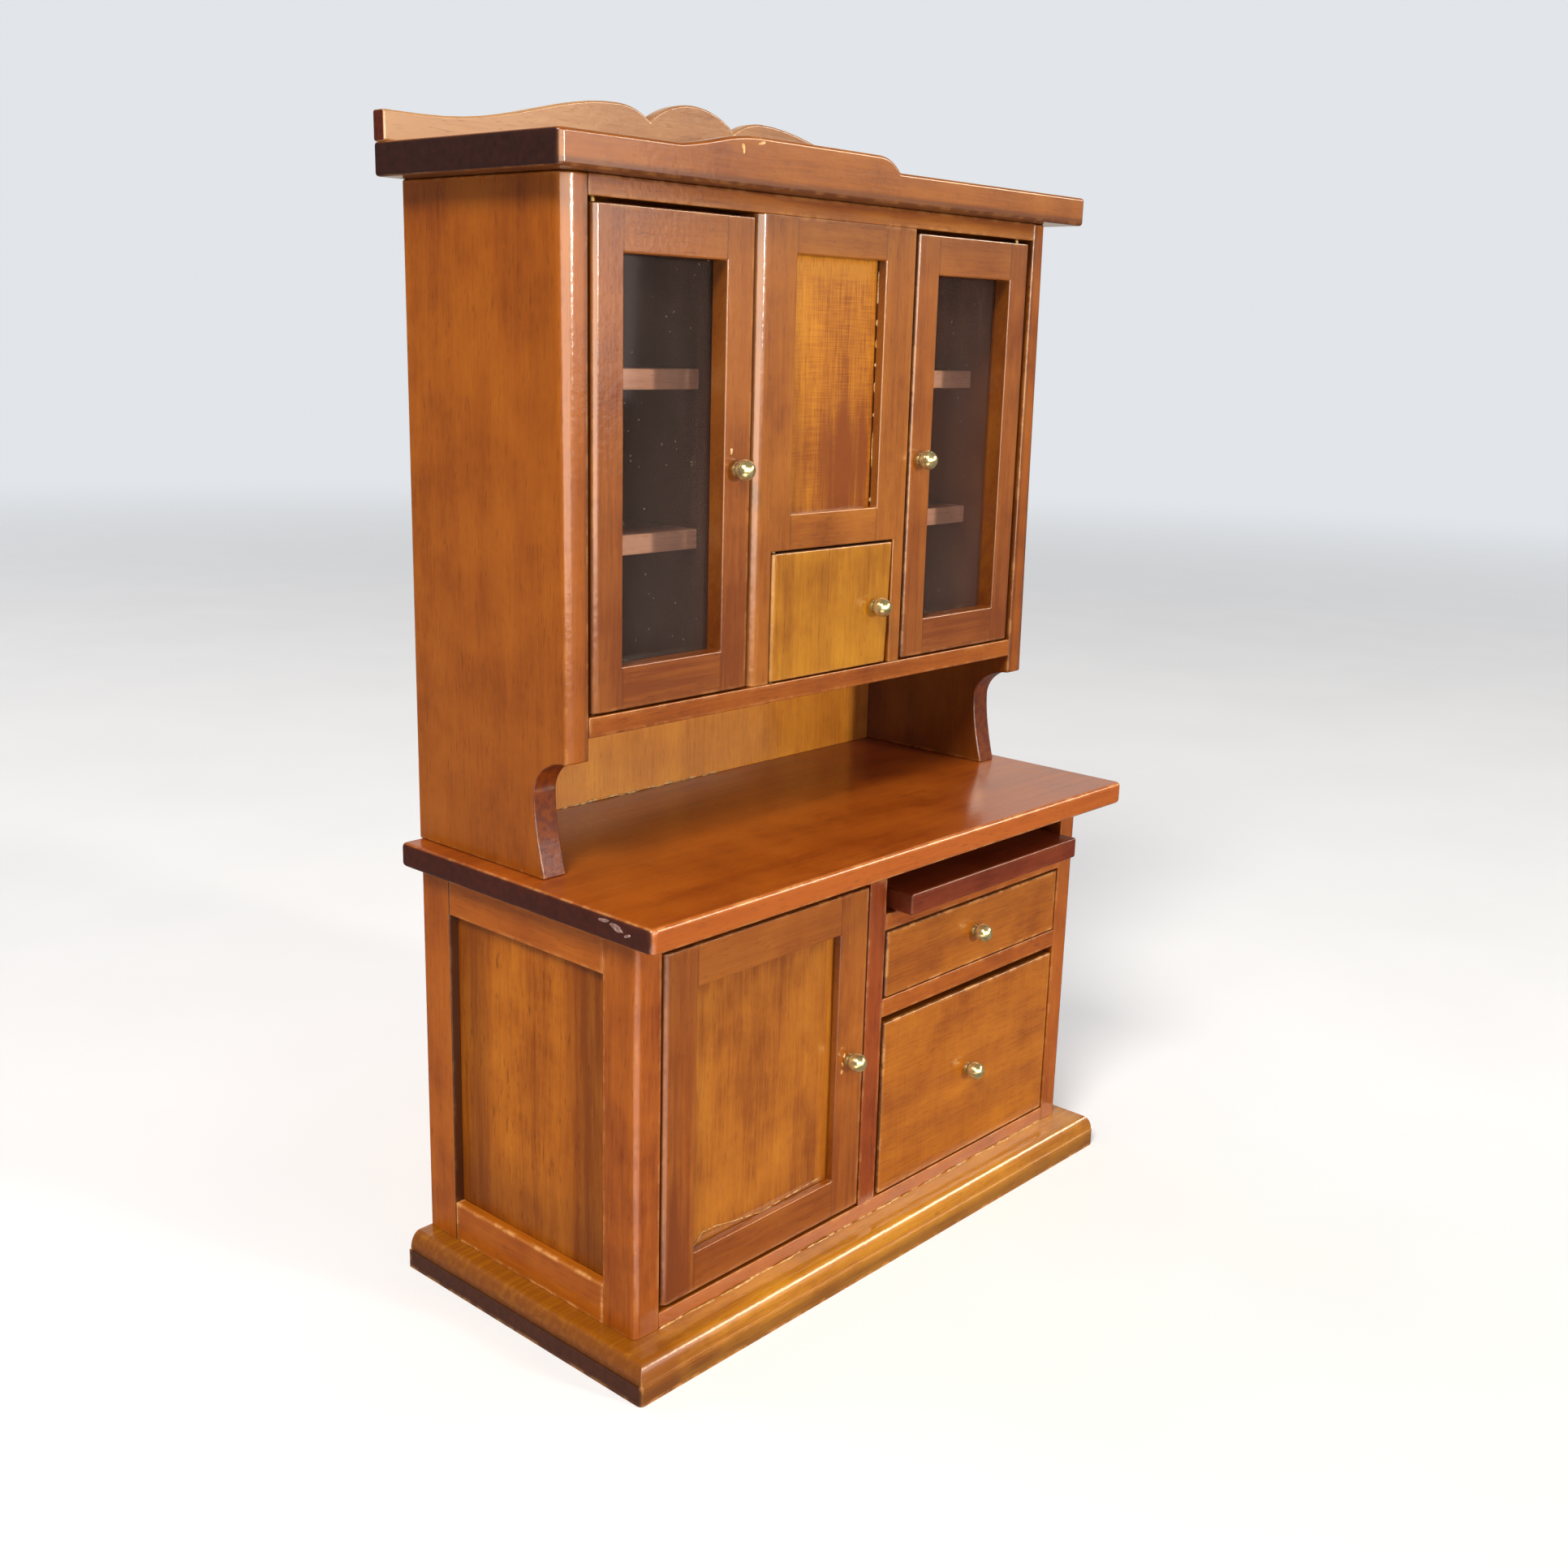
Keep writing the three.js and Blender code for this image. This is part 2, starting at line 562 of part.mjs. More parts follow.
// A side board whose front lower corner is scooped out above a foot that leans forwards
function upperSideOutline() {
  const outline = new THREE.Shape();
  outline.moveTo(BACK_Y, WORKTOP_TOP);
  outline.lineTo(BACK_Y, CORNICE_UNDERSIDE);
  outline.lineTo(UPPER_FRONT, CORNICE_UNDERSIDE);
  outline.lineTo(UPPER_FRONT, FOOT_CUT.top);
  outline.absellipse(
    UPPER_FRONT, FOOT_CUT.top - FOOT_CUT.height, FOOT_CUT.depth, FOOT_CUT.height, Math.PI / 2, 0, true);
  const footFront = fromBack(FOOT_CUT.footDepth);
  const waist = UPPER_FRONT + FOOT_CUT.depth;
  outline.quadraticCurveTo(waist, FOOT_CUT.bend, footFront, WORKTOP_TOP);
  outline.closePath();
  return outline;
}

function addUpperCarcass() {
  const outer = UPPER_WIDTH / 2;
  const inside = [-UPPER_INNER, UPPER_INNER];
  const depth = [UPPER_FRONT, BACK_BOARD_FRONT];
  addPiece('upper_left_side', alongX(upperSideOutline(), [-outer, -UPPER_INNER]), honeyWood);
  addPiece('upper_right_side', alongX(upperSideOutline(), [UPPER_INNER, outer]), honeyWood);
  const hinges = [HINGES.left, HINGES.right, HINGES.small];
  const floorHoles = hinges.map(({ x, y }) =>
    pinHole(x, y, [UPPER_FLOOR[1] - PIN_IN_CARCASS, UPPER_FLOOR[1] + FIT]));
  addPiece('upper_floor', cut(board(inside, depth, UPPER_FLOOR), ...floorHoles), honeyWood);
  const ceilingHoles = [HINGES.left, HINGES.right].map(({ x, y }) =>
    pinHole(x, y, [UPPER_CEILING_UNDERSIDE - FIT, UPPER_CEILING_UNDERSIDE + PIN_IN_CARCASS]));
  addPiece('upper_ceiling', cut(
    board(inside, depth, [UPPER_CEILING_UNDERSIDE, CORNICE_UNDERSIDE]), ...ceilingHoles), pinkWood);
  const backBoard = board(inside, [BACK_BOARD_FRONT, BACK_Y], [WORKTOP_TOP, CORNICE_UNDERSIDE]);
  addPiece('upper_back', backBoard, honeyWood);
}

// The fixed frame in the middle: a panelled opening above, and the small door's opening below
function addCentreFrame() {
  const { left, right, foot, head } = CENTRE_FRAME;
  const backY = UPPER_FRONT + DOOR_THICKNESS;
  const outline = polygon([
    [left, foot], [SMALL_OPENING.left, foot], [SMALL_OPENING.left, SMALL_OPENING.top],
    [SMALL_OPENING.right, SMALL_OPENING.top], [SMALL_OPENING.right, foot], [right, foot],
    [right, head], [left, head],
  ]);
  addPiece('centre_frame', cut(
    towardsFront(outline, backY, DOOR_THICKNESS),
    ...windowCuts(CENTRE_PANEL_WINDOW, UPPER_FRONT, backY, DOOR_THICKNESS - CENTRE_RECESS),
    pinHole(HINGES.small.x, HINGES.small.y, [SMALL_OPENING.top - FIT, SMALL_OPENING.top + PIN_IN_CARCASS]),
  ), pinkWood);
  addPiece('centre_panel', windowFill(CENTRE_PANEL_WINDOW, UPPER_FRONT + CENTRE_RECESS, PANEL), goldenWood);
}

function addUpperInterior() {
  const behindFrame = [UPPER_FRONT + DOOR_THICKNESS, BACK_BOARD_FRONT];
  const height = [UPPER_FLOOR[1], UPPER_CEILING_UNDERSIDE];
  const leftPartition = [CENTRE_FRAME.left, CENTRE_FRAME.left + PARTITION];
  const rightPartition = [CENTRE_FRAME.right - PARTITION, CENTRE_FRAME.right];
  addPiece('left_partition', board(leftPartition, behindFrame, height), honeyWood);
  addPiece('right_partition', board(rightPartition, behindFrame, height), honeyWood);
  addPiece('centre_shelf', board(
    [leftPartition[1], rightPartition[0]], behindFrame,
    [CENTRE_SHELF_TOP - SHELF, CENTRE_SHELF_TOP]), honeyWood);
  const shelfDepth = [UPPER_FRONT + SIDE_SHELF_SETBACK, BACK_BOARD_FRONT];
  const bays = { left: [-UPPER_INNER, CENTRE_FRAME.left], right: [CENTRE_FRAME.right, UPPER_INNER] };
  for (const [side, bay] of Object.entries(bays)) {
    SIDE_SHELF_TOPS.forEach((top, index) => {
      const place = index === 0 ? 'lower' : 'upper';
      addPiece(`${side}_${place}_shelf`, board(bay, shelfDepth, [top - SHELF, top]), honeyWood);
    });
  }
}

// ---------------------------------------------------------------- cornice and gallery

function addCornice() {
  const half = CORNICE_WIDTH / 2;
  const front = fromBack(CORNICE_DEPTH);
  const top = CORNICE_TOP + CREST.height;
  const rise = (CREST.flatLeft - CREST.left) / 2;
  const crest = new THREE.Shape();
  crest.moveTo(CREST.left, CORNICE_TOP - BEYOND);
  crest.lineTo(CREST.left, CORNICE_TOP);
  crest.bezierCurveTo(
    CREST.left + rise, CORNICE_TOP + CREST.height / 2, CREST.flatLeft - rise, top, CREST.flatLeft, top);
  crest.lineTo(CREST.flatRight, top - FIT);
  crest.quadraticCurveTo(CREST.right - CREST.shoulder, top - FIT, CREST.right, CORNICE_TOP);
  crest.lineTo(CREST.right, CORNICE_TOP - BEYOND);
  crest.closePath();
  addPiece('cornice', join(
    board([-half, half], [front, BACK_Y], [CORNICE_UNDERSIDE, CORNICE_TOP]),
    towardsFront(crest, front + CREST.depth, CREST.depth),
  ), pinkWood);
}

// A thin fence along the back: a round crown between two notches, then a hump that sinks to a low
// straight end on each side
function addGallery() {
  const half = CORNICE_WIDTH / 2;
  const base = CORNICE_TOP;
  const sagitta = GALLERY.crown - GALLERY.notch;
  const crownRadius = (GALLERY.crownHalf ** 2 + sagitta ** 2) / (2 * sagitta);
  const crownAngle = Math.asin(GALLERY.crownHalf / crownRadius);
  const crownCentre = base + GALLERY.crown - crownRadius;
  const grooveX = GALLERY.crownHalf + GALLERY.grooveDepth;
  const grooveZ = base + GALLERY.notch - GALLERY.grooveDepth;
  const foot = base + GALLERY.end;
  const hump = base + GALLERY.hump;
  const outline = new THREE.Shape();
  outline.moveTo(-half, base);
  outline.lineTo(half, base);
  outline.lineTo(half, foot);
  outline.lineTo(GALLERY_FOOT_X, foot);
  outline.bezierCurveTo(
    GALLERY_FOOT_X - GALLERY_FOOT_PULL, foot, GALLERY_HUMP_X + GALLERY_HUMP_PULL, hump, GALLERY_HUMP_X, hump);
  outline.quadraticCurveTo(GALLERY_HUMP_X - GALLERY_HUMP_LEAD, hump, grooveX, grooveZ);
  outline.absarc(0, crownCentre, crownRadius, Math.PI / 2 - crownAngle, Math.PI / 2 + crownAngle, false);
  outline.lineTo(-grooveX, grooveZ);
  outline.quadraticCurveTo(-GALLERY_HUMP_X + GALLERY_HUMP_LEAD, hump, -GALLERY_HUMP_X, hump);
  outline.bezierCurveTo(
    -GALLERY_HUMP_X - GALLERY_HUMP_PULL, hump,
    -GALLERY_FOOT_X + GALLERY_FOOT_PULL, foot, -GALLERY_FOOT_X, foot);
  outline.lineTo(-half, foot);
  outline.closePath();
  addPiece('gallery', towardsFront(outline, BACK_Y, GALLERY_THICKNESS), pinkWood);
}

// ---------------------------------------------------------------- assembly

addBaseBoard();
addLowerSide('left', -1);
addLowerSide('right', 1);
addLowerCarcass();
addWorktop();
addLowerDoor();
addDrawer('small_drawer', SMALL_DRAWER, KNOBS.smallDrawer);
addDrawer('large_drawer', LARGE_DRAWER, KNOBS.largeDrawer);
addPullOutBoard();
addUpperCarcass();
addCentreFrame();
addUpperInterior();
addGlazedDoor('left', -1);
addGlazedDoor('right', 1);
addSmallDoor();
addCornice();
addGallery();

export default hutch;
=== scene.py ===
"""Looks for the 1:12 kitchen hutch: stained and lacquered boards, dark glazed bays, brass ball knobs.

The boards are the CAD nodes, rounded by modifiers and finished with procedural wood materials that
work in millimetres of each node's own coordinates. A few small pieces are added: flecks of dried
glue, flakes of lacquer and splinters, which ride on the body they sit on.
"""

import itertools
import math
import random

import bpy
from mathutils import Matrix, Vector


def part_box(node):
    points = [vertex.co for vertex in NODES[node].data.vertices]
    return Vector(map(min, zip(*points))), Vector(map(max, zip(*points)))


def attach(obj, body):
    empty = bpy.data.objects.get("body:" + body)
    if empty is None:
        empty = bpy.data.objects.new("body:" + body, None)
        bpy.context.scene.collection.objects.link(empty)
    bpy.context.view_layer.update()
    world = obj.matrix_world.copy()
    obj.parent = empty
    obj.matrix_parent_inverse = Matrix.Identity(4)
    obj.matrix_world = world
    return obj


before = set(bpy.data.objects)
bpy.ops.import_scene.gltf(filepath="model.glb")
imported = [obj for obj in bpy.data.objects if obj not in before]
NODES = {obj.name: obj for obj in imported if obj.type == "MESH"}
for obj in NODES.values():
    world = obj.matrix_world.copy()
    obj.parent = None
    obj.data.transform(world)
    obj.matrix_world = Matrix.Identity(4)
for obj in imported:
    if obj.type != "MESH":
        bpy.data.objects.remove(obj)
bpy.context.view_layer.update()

MM = 0.001

FRONTWARD = (0.0, -1.0, 0.0)
UPWARD = (0.0, 0.0, 1.0)
LEFTWARD = (-1.0, 0.0, 0.0)

# ------------------------------------------------------------------ camera and studio

CAMERA_PLACE = (-0.2035, -0.1805, 0.1461)
CAMERA_RIGHT = (0.67243, -0.73967, 0.02698)
CAMERA_DOWN = (-0.16922, -0.18912, -0.96726)
CAMERA_FORWARD = (0.72056, 0.64585, -0.25234)
CAMERA_LENS = 39.47
CAMERA_SENSOR = 36.0
CAMERA_NEAREST = 0.01

LIGHTS_AIM_AT = (0.0, 0.0, 0.09)
WORLD_LIGHT = 0.15

FLOOR_RADIUS = 1.6
FLOOR_FADE_START = 0.45
FLOOR_FADE_END = 0.95 * FLOOR_RADIUS
FLOOR_RINGS = 48
FLOOR_CORNERS = 96
FLOOR_GLOW = 0.22


def srgb(red, green, blue):
    """A colour given in 0 to 255 display values, as linear light."""
    def linear(value):
        share = value / 255
        return share / 12.92 if share <= 0.04045 else ((share + 0.055) / 1.055) ** 2.4
    return (linear(red), linear(green), linear(blue), 1.0)


def darker(colour, share):
    """The same colour with only a share of its light."""
    return tuple(share * value for value in colour[:3]) + (1.0,)


def box_in_millimetres(name):
    """The low and high corner of a CAD node at rest."""
    low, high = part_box(name)
    return low / MM, high / MM


# ------------------------------------------------------------------ shader building


class Graph:
    """Adds nodes to a shader tree; each method returns the socket that carries its result."""

    def __init__(self, tree):
        self.tree = tree

    def add(self, kind, **settings):
        node = self.tree.nodes.new(kind)
        for key, value in settings.items():
            setattr(node, key, value)
        return node

    def feed(self, value, socket):
        """Links a socket to an input, or sets the input to a plain value."""
        if isinstance(value, bpy.types.NodeSocket):
            self.tree.links.new(value, socket)
        else:
            socket.default_value = value

    def math(self, operation, first, second=0.0, clamp=False):
        node = self.add("ShaderNodeMath", operation=operation, use_clamp=clamp)
        self.feed(first, node.inputs[0])
        self.feed(second, node.inputs[1])
        return node.outputs[0]

    def times(self, first, second, clamp=False):
        return self.math("MULTIPLY", first, second, clamp)

    def total(self, *terms):
        result = terms[0]
        for term in terms[1:]:
            result = self.math("ADD", result, term)
        return result

    def away_from(self, value, place):
        """How far a coordinate is from a place, on either side."""
        return self.math("ABSOLUTE", self.math("SUBTRACT", value, place))

    def smooth(self, value, start, end, low=0.0, high=1.0):
        """low before start, high after end, and a smooth step between them."""
        node = self.add("ShaderNodeMapRange", interpolation_type="SMOOTHSTEP")
        for socket, number in zip(node.inputs[:5], (value, start, end, low, high)):
            self.feed(number, socket)
        return node.outputs[0]

    def stretch(self, vector, scale):
        node = self.add("ShaderNodeVectorMath", operation="MULTIPLY")
        self.feed(vector, node.inputs[0])
        node.inputs[1].default_value = scale
        return node.outputs[0]

    def shift(self, vector, offset):
        node = self.add("ShaderNodeVectorMath", operation="ADD")
        self.feed(vector, node.inputs[0])
        node.inputs[1].default_value = offset
        return node.outputs[0]

    def noise(self, vector, scale=1.0, detail=2.0, roughness=0.5, distortion=0.0):
        node = self.add("ShaderNodeTexNoise")
        self.feed(vector, node.inputs["Vector"])
        node.inputs["Scale"].default_value = scale
        node.inputs["Detail"].default_value = detail
        node.inputs["Roughness"].default_value = roughness
        node.inputs["Distortion"].default_value = distortion
        return node.outputs["Fac"]

    def cells(self, vector, scale):
        """Distance to the nearest of a scatter of points."""
        node = self.add("ShaderNodeTexVoronoi")
        self.feed(vector, node.inputs["Vector"])
        node.inputs["Scale"].default_value = scale
        return node.outputs["Distance"]

    def swing(self, value, amount):
        """A noise turned into a swing of plus or minus amount round zero."""
        return self.times(self.math("SUBTRACT", value, 0.5), 2.0 * amount)

    def mix(self, share, first, second):
        """The first colour where share is 0 and the second where it is 1."""
        node = self.add("ShaderNodeMix", data_type="RGBA")
        self.feed(share, node.inputs[0])
        self.feed(first, node.inputs[6])
        self.feed(second, node.inputs[7])
        return node.outputs[2]

    def mix_vectors(self, share, first, second):
        node = self.add("ShaderNodeMix", data_type="VECTOR")
        self.feed(share, node.inputs[0])
        self.feed(first, node.inputs[4])
        self.feed(second, node.inputs[5])
        return node.outputs[1]

    def mix_shaders(self, share, first, second):
        node = self.add("ShaderNodeMixShader")
        self.feed(share, node.inputs[0])
        self.feed(first, node.inputs[1])
        self.feed(second, node.inputs[2])
        return node.outputs[0]

    def ramp(self, value, stops):
        """A colour ramp through (position, colour) stops."""
        node = self.add("ShaderNodeValToRGB")
        elements = node.color_ramp.elements
        while len(elements) < len(stops):
            elements.new(0.5)
        for element, (position, colour) in zip(elements, stops):
            element.position = position
            element.color = colour
        self.feed(value, node.inputs[0])
        return node.outputs[0]

    def bump(self, height, distance):
        """A normal tilted by a height, which spans the given distance in metres."""
        node = self.add("ShaderNodeBump")
        node.inputs["Strength"].default_value = 1.0
        node.inputs["Distance"].default_value = distance
        self.feed(height, node.inputs["Height"])
        return node.outputs["Normal"]

    def place(self):
        """Object coordinates in millimetres, as a vector."""
        coordinates = self.add("ShaderNodeTexCoord")
        return self.stretch(coordinates.outputs["Object"], (1 / MM,) * 3)

    def split(self, vector):
        """The three parts of a vector, by axis letter."""
        parts = self.add("ShaderNodeSeparateXYZ")
        self.feed(vector, parts.inputs[0])
        return dict(zip("xyz", parts.outputs))


def new_material(name):
    """An empty Principled material: (material, graph, its Principled node)."""
    material = bpy.data.materials.new(name)
    material.use_nodes = True
    graph = Graph(material.node_tree)
    shader = next(n for n in material.node_tree.nodes if n.type == "BSDF_PRINCIPLED")
    return material, graph, shader


# ------------------------------------------------------------------ wood

GRAIN_ORDER = {"x": "xyz", "y": "yxz", "z": "zxy"}

# How fast each pattern repeats per millimetre: first along the grain, then across it twice.
BAND_STRETCH = (0.012, 0.16, 0.16)
STREAK_STRETCH = (0.035, 0.85, 0.85)
FIBRE_STRETCH = (0.13, 2.6, 2.6)
PORE_STRETCH = (0.42, 4.2, 4.2)
FLECK_STRETCH = (0.28, 1.9, 1.9)

# The cross-hatched weave runs along x and z instead, whichever way the grain lies.
WARP_STRETCH = (5.2, 1.0, 0.16)
WEFT_STRETCH = (0.16, 1.0, 5.2)

DEEP_BROWN = srgb(44, 22, 14)
COAT_ROUGHNESS = 0.17
BASE_SPECULAR = 0.13
GRAIN_RELIEF = 0.035 * MM
COAT_RELIEF = 0.03 * MM

WOOD_DEFAULTS = dict(
    bands=0.20, streaks=0.10, fibres=0.20, blotches=0.36, weave=0.0,
    pores=0.30, flecks=0.0, pool=0.0, pool_width=4.0, outline=0.0,
    end_dark=0.75, end_tone=srgb(84, 42, 24), wear=0.25, wear_tone=srgb(226, 160, 92),
    roughness=0.42, coat=0.70, frame_joints=None, shade=(), patches=(), lines=(), scoop=None,
)


def grained(graph, parts, axis, seed):
    """Coordinates whose first axis runs along the grain, moved to a spot of their own."""
    joined = graph.add("ShaderNodeCombineXYZ")
    for letter, socket in zip(GRAIN_ORDER[axis], joined.inputs):
        graph.feed(parts[letter], socket)
    return graph.shift(joined.outputs[0], (seed * 41.7, seed * 13.3, seed * 29.1))


def edge_distances(graph, parts, low, high):
    """For each axis, the distance to the nearer of the node's two end planes."""
    found = {}
    for axis, start, end in zip("xyz", low, high):
        from_start = graph.math("SUBTRACT", parts[axis], start)
        to_end = graph.math("SUBTRACT", end, parts[axis])
        found[axis] = graph.math("MINIMUM", from_start, to_end)
    return found


def middle_of_three(graph, distances):
    """The middle value of three: on a face, the distance to the nearest arris."""
    x, y, z = (distances[axis] for axis in "xyz")
    smallest = graph.math("MINIMUM", x, graph.math("MINIMUM", y, z))
    largest = graph.math("MAXIMUM", x, graph.math("MAXIMUM", y, z))
    return graph.math("SUBTRACT", graph.total(x, y, z), graph.math("ADD", smallest, largest))


class Wood:
    """tones are the dark, middle and light tone of the stain. changes are entries of WOOD_DEFAULTS:
    bands, streaks, fibres, blotches, weave: how far each pattern moves the tone
    pores, flecks: how dark the fine pores and the longer flecks are
    pool, pool_width: how far, and how wide, a recessed panel darkens towards its border
    outline: how dark the rim of a door or drawer front is, where stain has pooled in the gap
    end_dark, end_tone: how far end grain goes towards its own tone
    wear, wear_tone: how far the arrises are rubbed towards a pale tone
    roughness, coat: of the wood's own surface, and how much lacquer lies over it
    pool, pool_width: how far, and how wide, painted shade darkens a recessed panel towards its border
    shade: (axis, from, to, amount, "dark" or "light") changes across the board
    outline: how dark the rim of a door or drawer front goes, as painted shade beside its gap
    lines: (axis, place, half width, amount) soft lines of deep brown
    scoop: (height, tone) for the edges below that height that face the front or the floor
    """

    def __init__(self, name, node, grain, tones, seed, changes):
        self.look = {**WOOD_DEFAULTS, **changes}
        self.material, self.graph, self.shader = new_material(name)
        self.grain = grain
        self.seed = seed
        self.dark, self.middle, self.light = tones
        self.place = self.graph.place()
        self.parts = self.graph.split(self.place)
        normal = self.graph.add("ShaderNodeTexCoord").outputs["Normal"]
        self.facing = self.graph.split(normal)
        self.distances = edge_distances(self.graph, self.parts, *box_in_millimetres(node))

    def finish(self):
        self.find_grain()
        self.lay_patterns()
        self.shade_board()
        self.open_pores()
        self.darken_borders()
        self.stain_end_grain()
        self.stain_scoop()
        self.rub_arrises()
        self.lacquer()
        return self.material

    def blend(self, share, colour):
        """Moves the board's colour a share of the way to another colour."""
        self.colour = self.graph.mix(share, self.colour, colour)

    def find_grain(self):
        """Sets runs, the coordinates along the grain, and seam, a mask of a frame's joints."""
        graph, across = self.graph, self.parts["x"]
        self.runs = grained(graph, self.parts, self.grain, self.seed)
        self.seam = None
        if self.look["frame_joints"]:
            left, right = self.look["frame_joints"]
            turn = 0.06
            in_left = graph.smooth(across, left - turn, left + turn, 1.0, 0.0)
            in_right = graph.smooth(across, right - turn, right + turn)
            in_stile = graph.math("ADD", in_left, in_right, clamp=True)
            upright = grained(graph, self.parts, "z", self.seed + 3.3)
            self.runs = graph.mix_vectors(in_stile, self.runs, upright)
            nearest = graph.math("MINIMUM", graph.away_from(across, left), graph.away_from(across, right))
            self.seam = graph.smooth(nearest, 0.04, 0.22, 1.0, 0.0)

    def lay_patterns(self):
        """The tone of the stain, moved by everything from broad bands down to fibres."""
        graph, look, runs = self.graph, self.look, self.runs
        bands = graph.noise(graph.stretch(runs, BAND_STRETCH), detail=3, roughness=0.55, distortion=0.6)
        self.streaks = graph.noise(graph.stretch(runs, STREAK_STRETCH), detail=4, roughness=0.62)
        self.fibres = graph.noise(graph.stretch(runs, FIBRE_STRETCH), detail=4, roughness=0.68)
        own_spot = graph.shift(self.place, (self.seed * 7.0, 0, self.seed * 3.0))
        self.blotches = graph.noise(own_spot, scale=0.075, detail=4, roughness=0.6)
        tone = graph.total(
            0.5,
            graph.swing(bands, look["bands"] * 2.2),
            graph.swing(self.streaks, look["streaks"] * 2.0),
            graph.swing(self.fibres, look["fibres"] * 2.0),
            graph.swing(self.blotches, look["blotches"] * 2.0),
        )
        if look["weave"]:
            warp = graph.noise(graph.stretch(self.place, WARP_STRETCH), detail=2, roughness=0.6)
            weft = graph.noise(graph.stretch(self.place, WEFT_STRETCH), detail=2, roughness=0.6)
            tone = graph.total(
                tone, graph.swing(warp, look["weave"]), graph.swing(weft, look["weave"] * 0.8))
        self.colour = graph.ramp(tone, ((0.0, self.dark), (0.5, self.middle), (1.0, self.light)))

    def shade_board(self):
        """Changes of tone across the board, dark clouds and soft dark lines."""
        graph, parts = self.graph, self.parts
        for axis, start, end, amount, side in self.look["shade"]:
            share = graph.smooth(parts[axis], start, end, 0.0, amount)
            ragged = graph.times(share, graph.smooth(self.streaks, 0.36, 0.60, 1.3, 0.6), clamp=True)
            self.blend(ragged, self.dark if side == "dark" else self.light)
        for first, middle, reach, second, other_middle, other_reach, amount in self.look["patches"]:
            across = graph.math("DIVIDE", graph.math("SUBTRACT", parts[first], middle), reach)
            along = graph.math("DIVIDE", graph.math("SUBTRACT", parts[second], other_middle), other_reach)
            spread = graph.total(
                graph.times(across, across), graph.times(along, along), graph.swing(self.streaks, 1.3))
            self.blend(graph.smooth(spread, 0.1, 1.1, amount, 0.0), self.dark)
        for axis, middle, half, amount in self.look["lines"]:
            away = graph.away_from(parts[axis], middle)
            self.blend(graph.smooth(away, half * 0.4, half, amount, 0.0), DEEP_BROWN)

    def open_pores(self):
        """Fine dark pores and, on some boards, longer dark flecks."""
        graph, look = self.graph, self.look
        pores = graph.noise(graph.stretch(self.runs, PORE_STRETCH), detail=1)
        self.pores = graph.smooth(pores, 0.62, 0.72, 0.0, look["pores"])
        self.blend(self.pores, darker(self.dark, 0.45))
        if look["flecks"]:
            flecks = graph.noise(graph.stretch(self.runs, FLECK_STRETCH), detail=2, roughness=0.55)
            self.blend(graph.smooth(flecks, 0.63, 0.72, 0.0, look["flecks"]), darker(self.dark, 0.5))

    def darken_borders(self):
        """Painted shade round a recessed panel's border and on a front's rim beside its gap; dark stain in
        a frame's joints.
        """
        graph, look = self.graph, self.look
        border = graph.math("MINIMUM", self.distances["x"], self.distances["z"])
        # Painted shade: a recessed panel darkens towards the frame round it.
        if look["pool"]:
            uneven = graph.math("ADD", border, graph.swing(self.streaks, 4.5))
            self.blend(graph.smooth(uneven, 0.6, look["pool_width"], look["pool"], 0.0), self.dark)
        # Painted shade: the rim of a front darkens where its gap would shade it, more on its front face.
        if look["outline"]:
            rim = graph.smooth(border, 0.05, 0.22, look["outline"], 0.0)
            frontal = graph.smooth(graph.math("ABSOLUTE", self.facing["y"]), 0.15, 0.5, 0.5, 1.0)
            self.blend(graph.times(rim, frontal), DEEP_BROWN)
        if self.seam is not None:
            self.blend(graph.times(self.seam, 0.38), darker(self.dark, 0.35))

    def stain_end_grain(self):
        """The board's two ends take more stain, in a mottled way."""
        graph, look = self.graph, self.look
        along = graph.math("ABSOLUTE", self.facing[self.grain])
        self.end_grain = graph.smooth(along, 0.55, 0.9, 0.0, look["end_dark"])
        mottle = graph.smooth(graph.noise(self.place, scale=0.9, detail=4, roughness=0.7), 0.35, 0.65)
        self.blend(self.end_grain, graph.mix(mottle, darker(look["end_tone"], 0.62), look["end_tone"]))

    def stain_scoop(self):
        """The edge of a scooped foot is end grain too, and takes its own dark tone."""
        graph, facing = self.graph, self.facing
        if self.look["scoop"]:
            height, tone = self.look["scoop"]
            frontward = graph.times(facing["y"], -1.0)
            downward = graph.times(facing["z"], -1.0)
            cut_edge = graph.smooth(graph.math("MAXIMUM", frontward, downward), 0.25, 0.65)
            below = graph.smooth(self.parts["z"], height - 0.4, height, 0.92, 0.0)
            mottle = graph.smooth(graph.noise(self.place, scale=0.8, detail=3), 0.4, 0.6)
            self.blend(graph.times(cut_edge, below), graph.mix(mottle, tone, self.dark))

    def rub_arrises(self):
        """Arrises rubbed pale in places, but not at the ends."""
        graph, look = self.graph, self.look
        near_arris = graph.smooth(middle_of_three(graph, self.distances), 0.1, 0.75, 1.0, 0.0)
        in_places = graph.smooth(
            graph.noise(self.place, scale=0.35, detail=3, roughness=0.6), 0.46, 0.62, 0.15, 1.0)
        rubbed = graph.times(graph.times(near_arris, in_places), look["wear"])
        self.blend(graph.times(rubbed, graph.math("SUBTRACT", 1.0, self.end_grain)), look["wear_tone"])

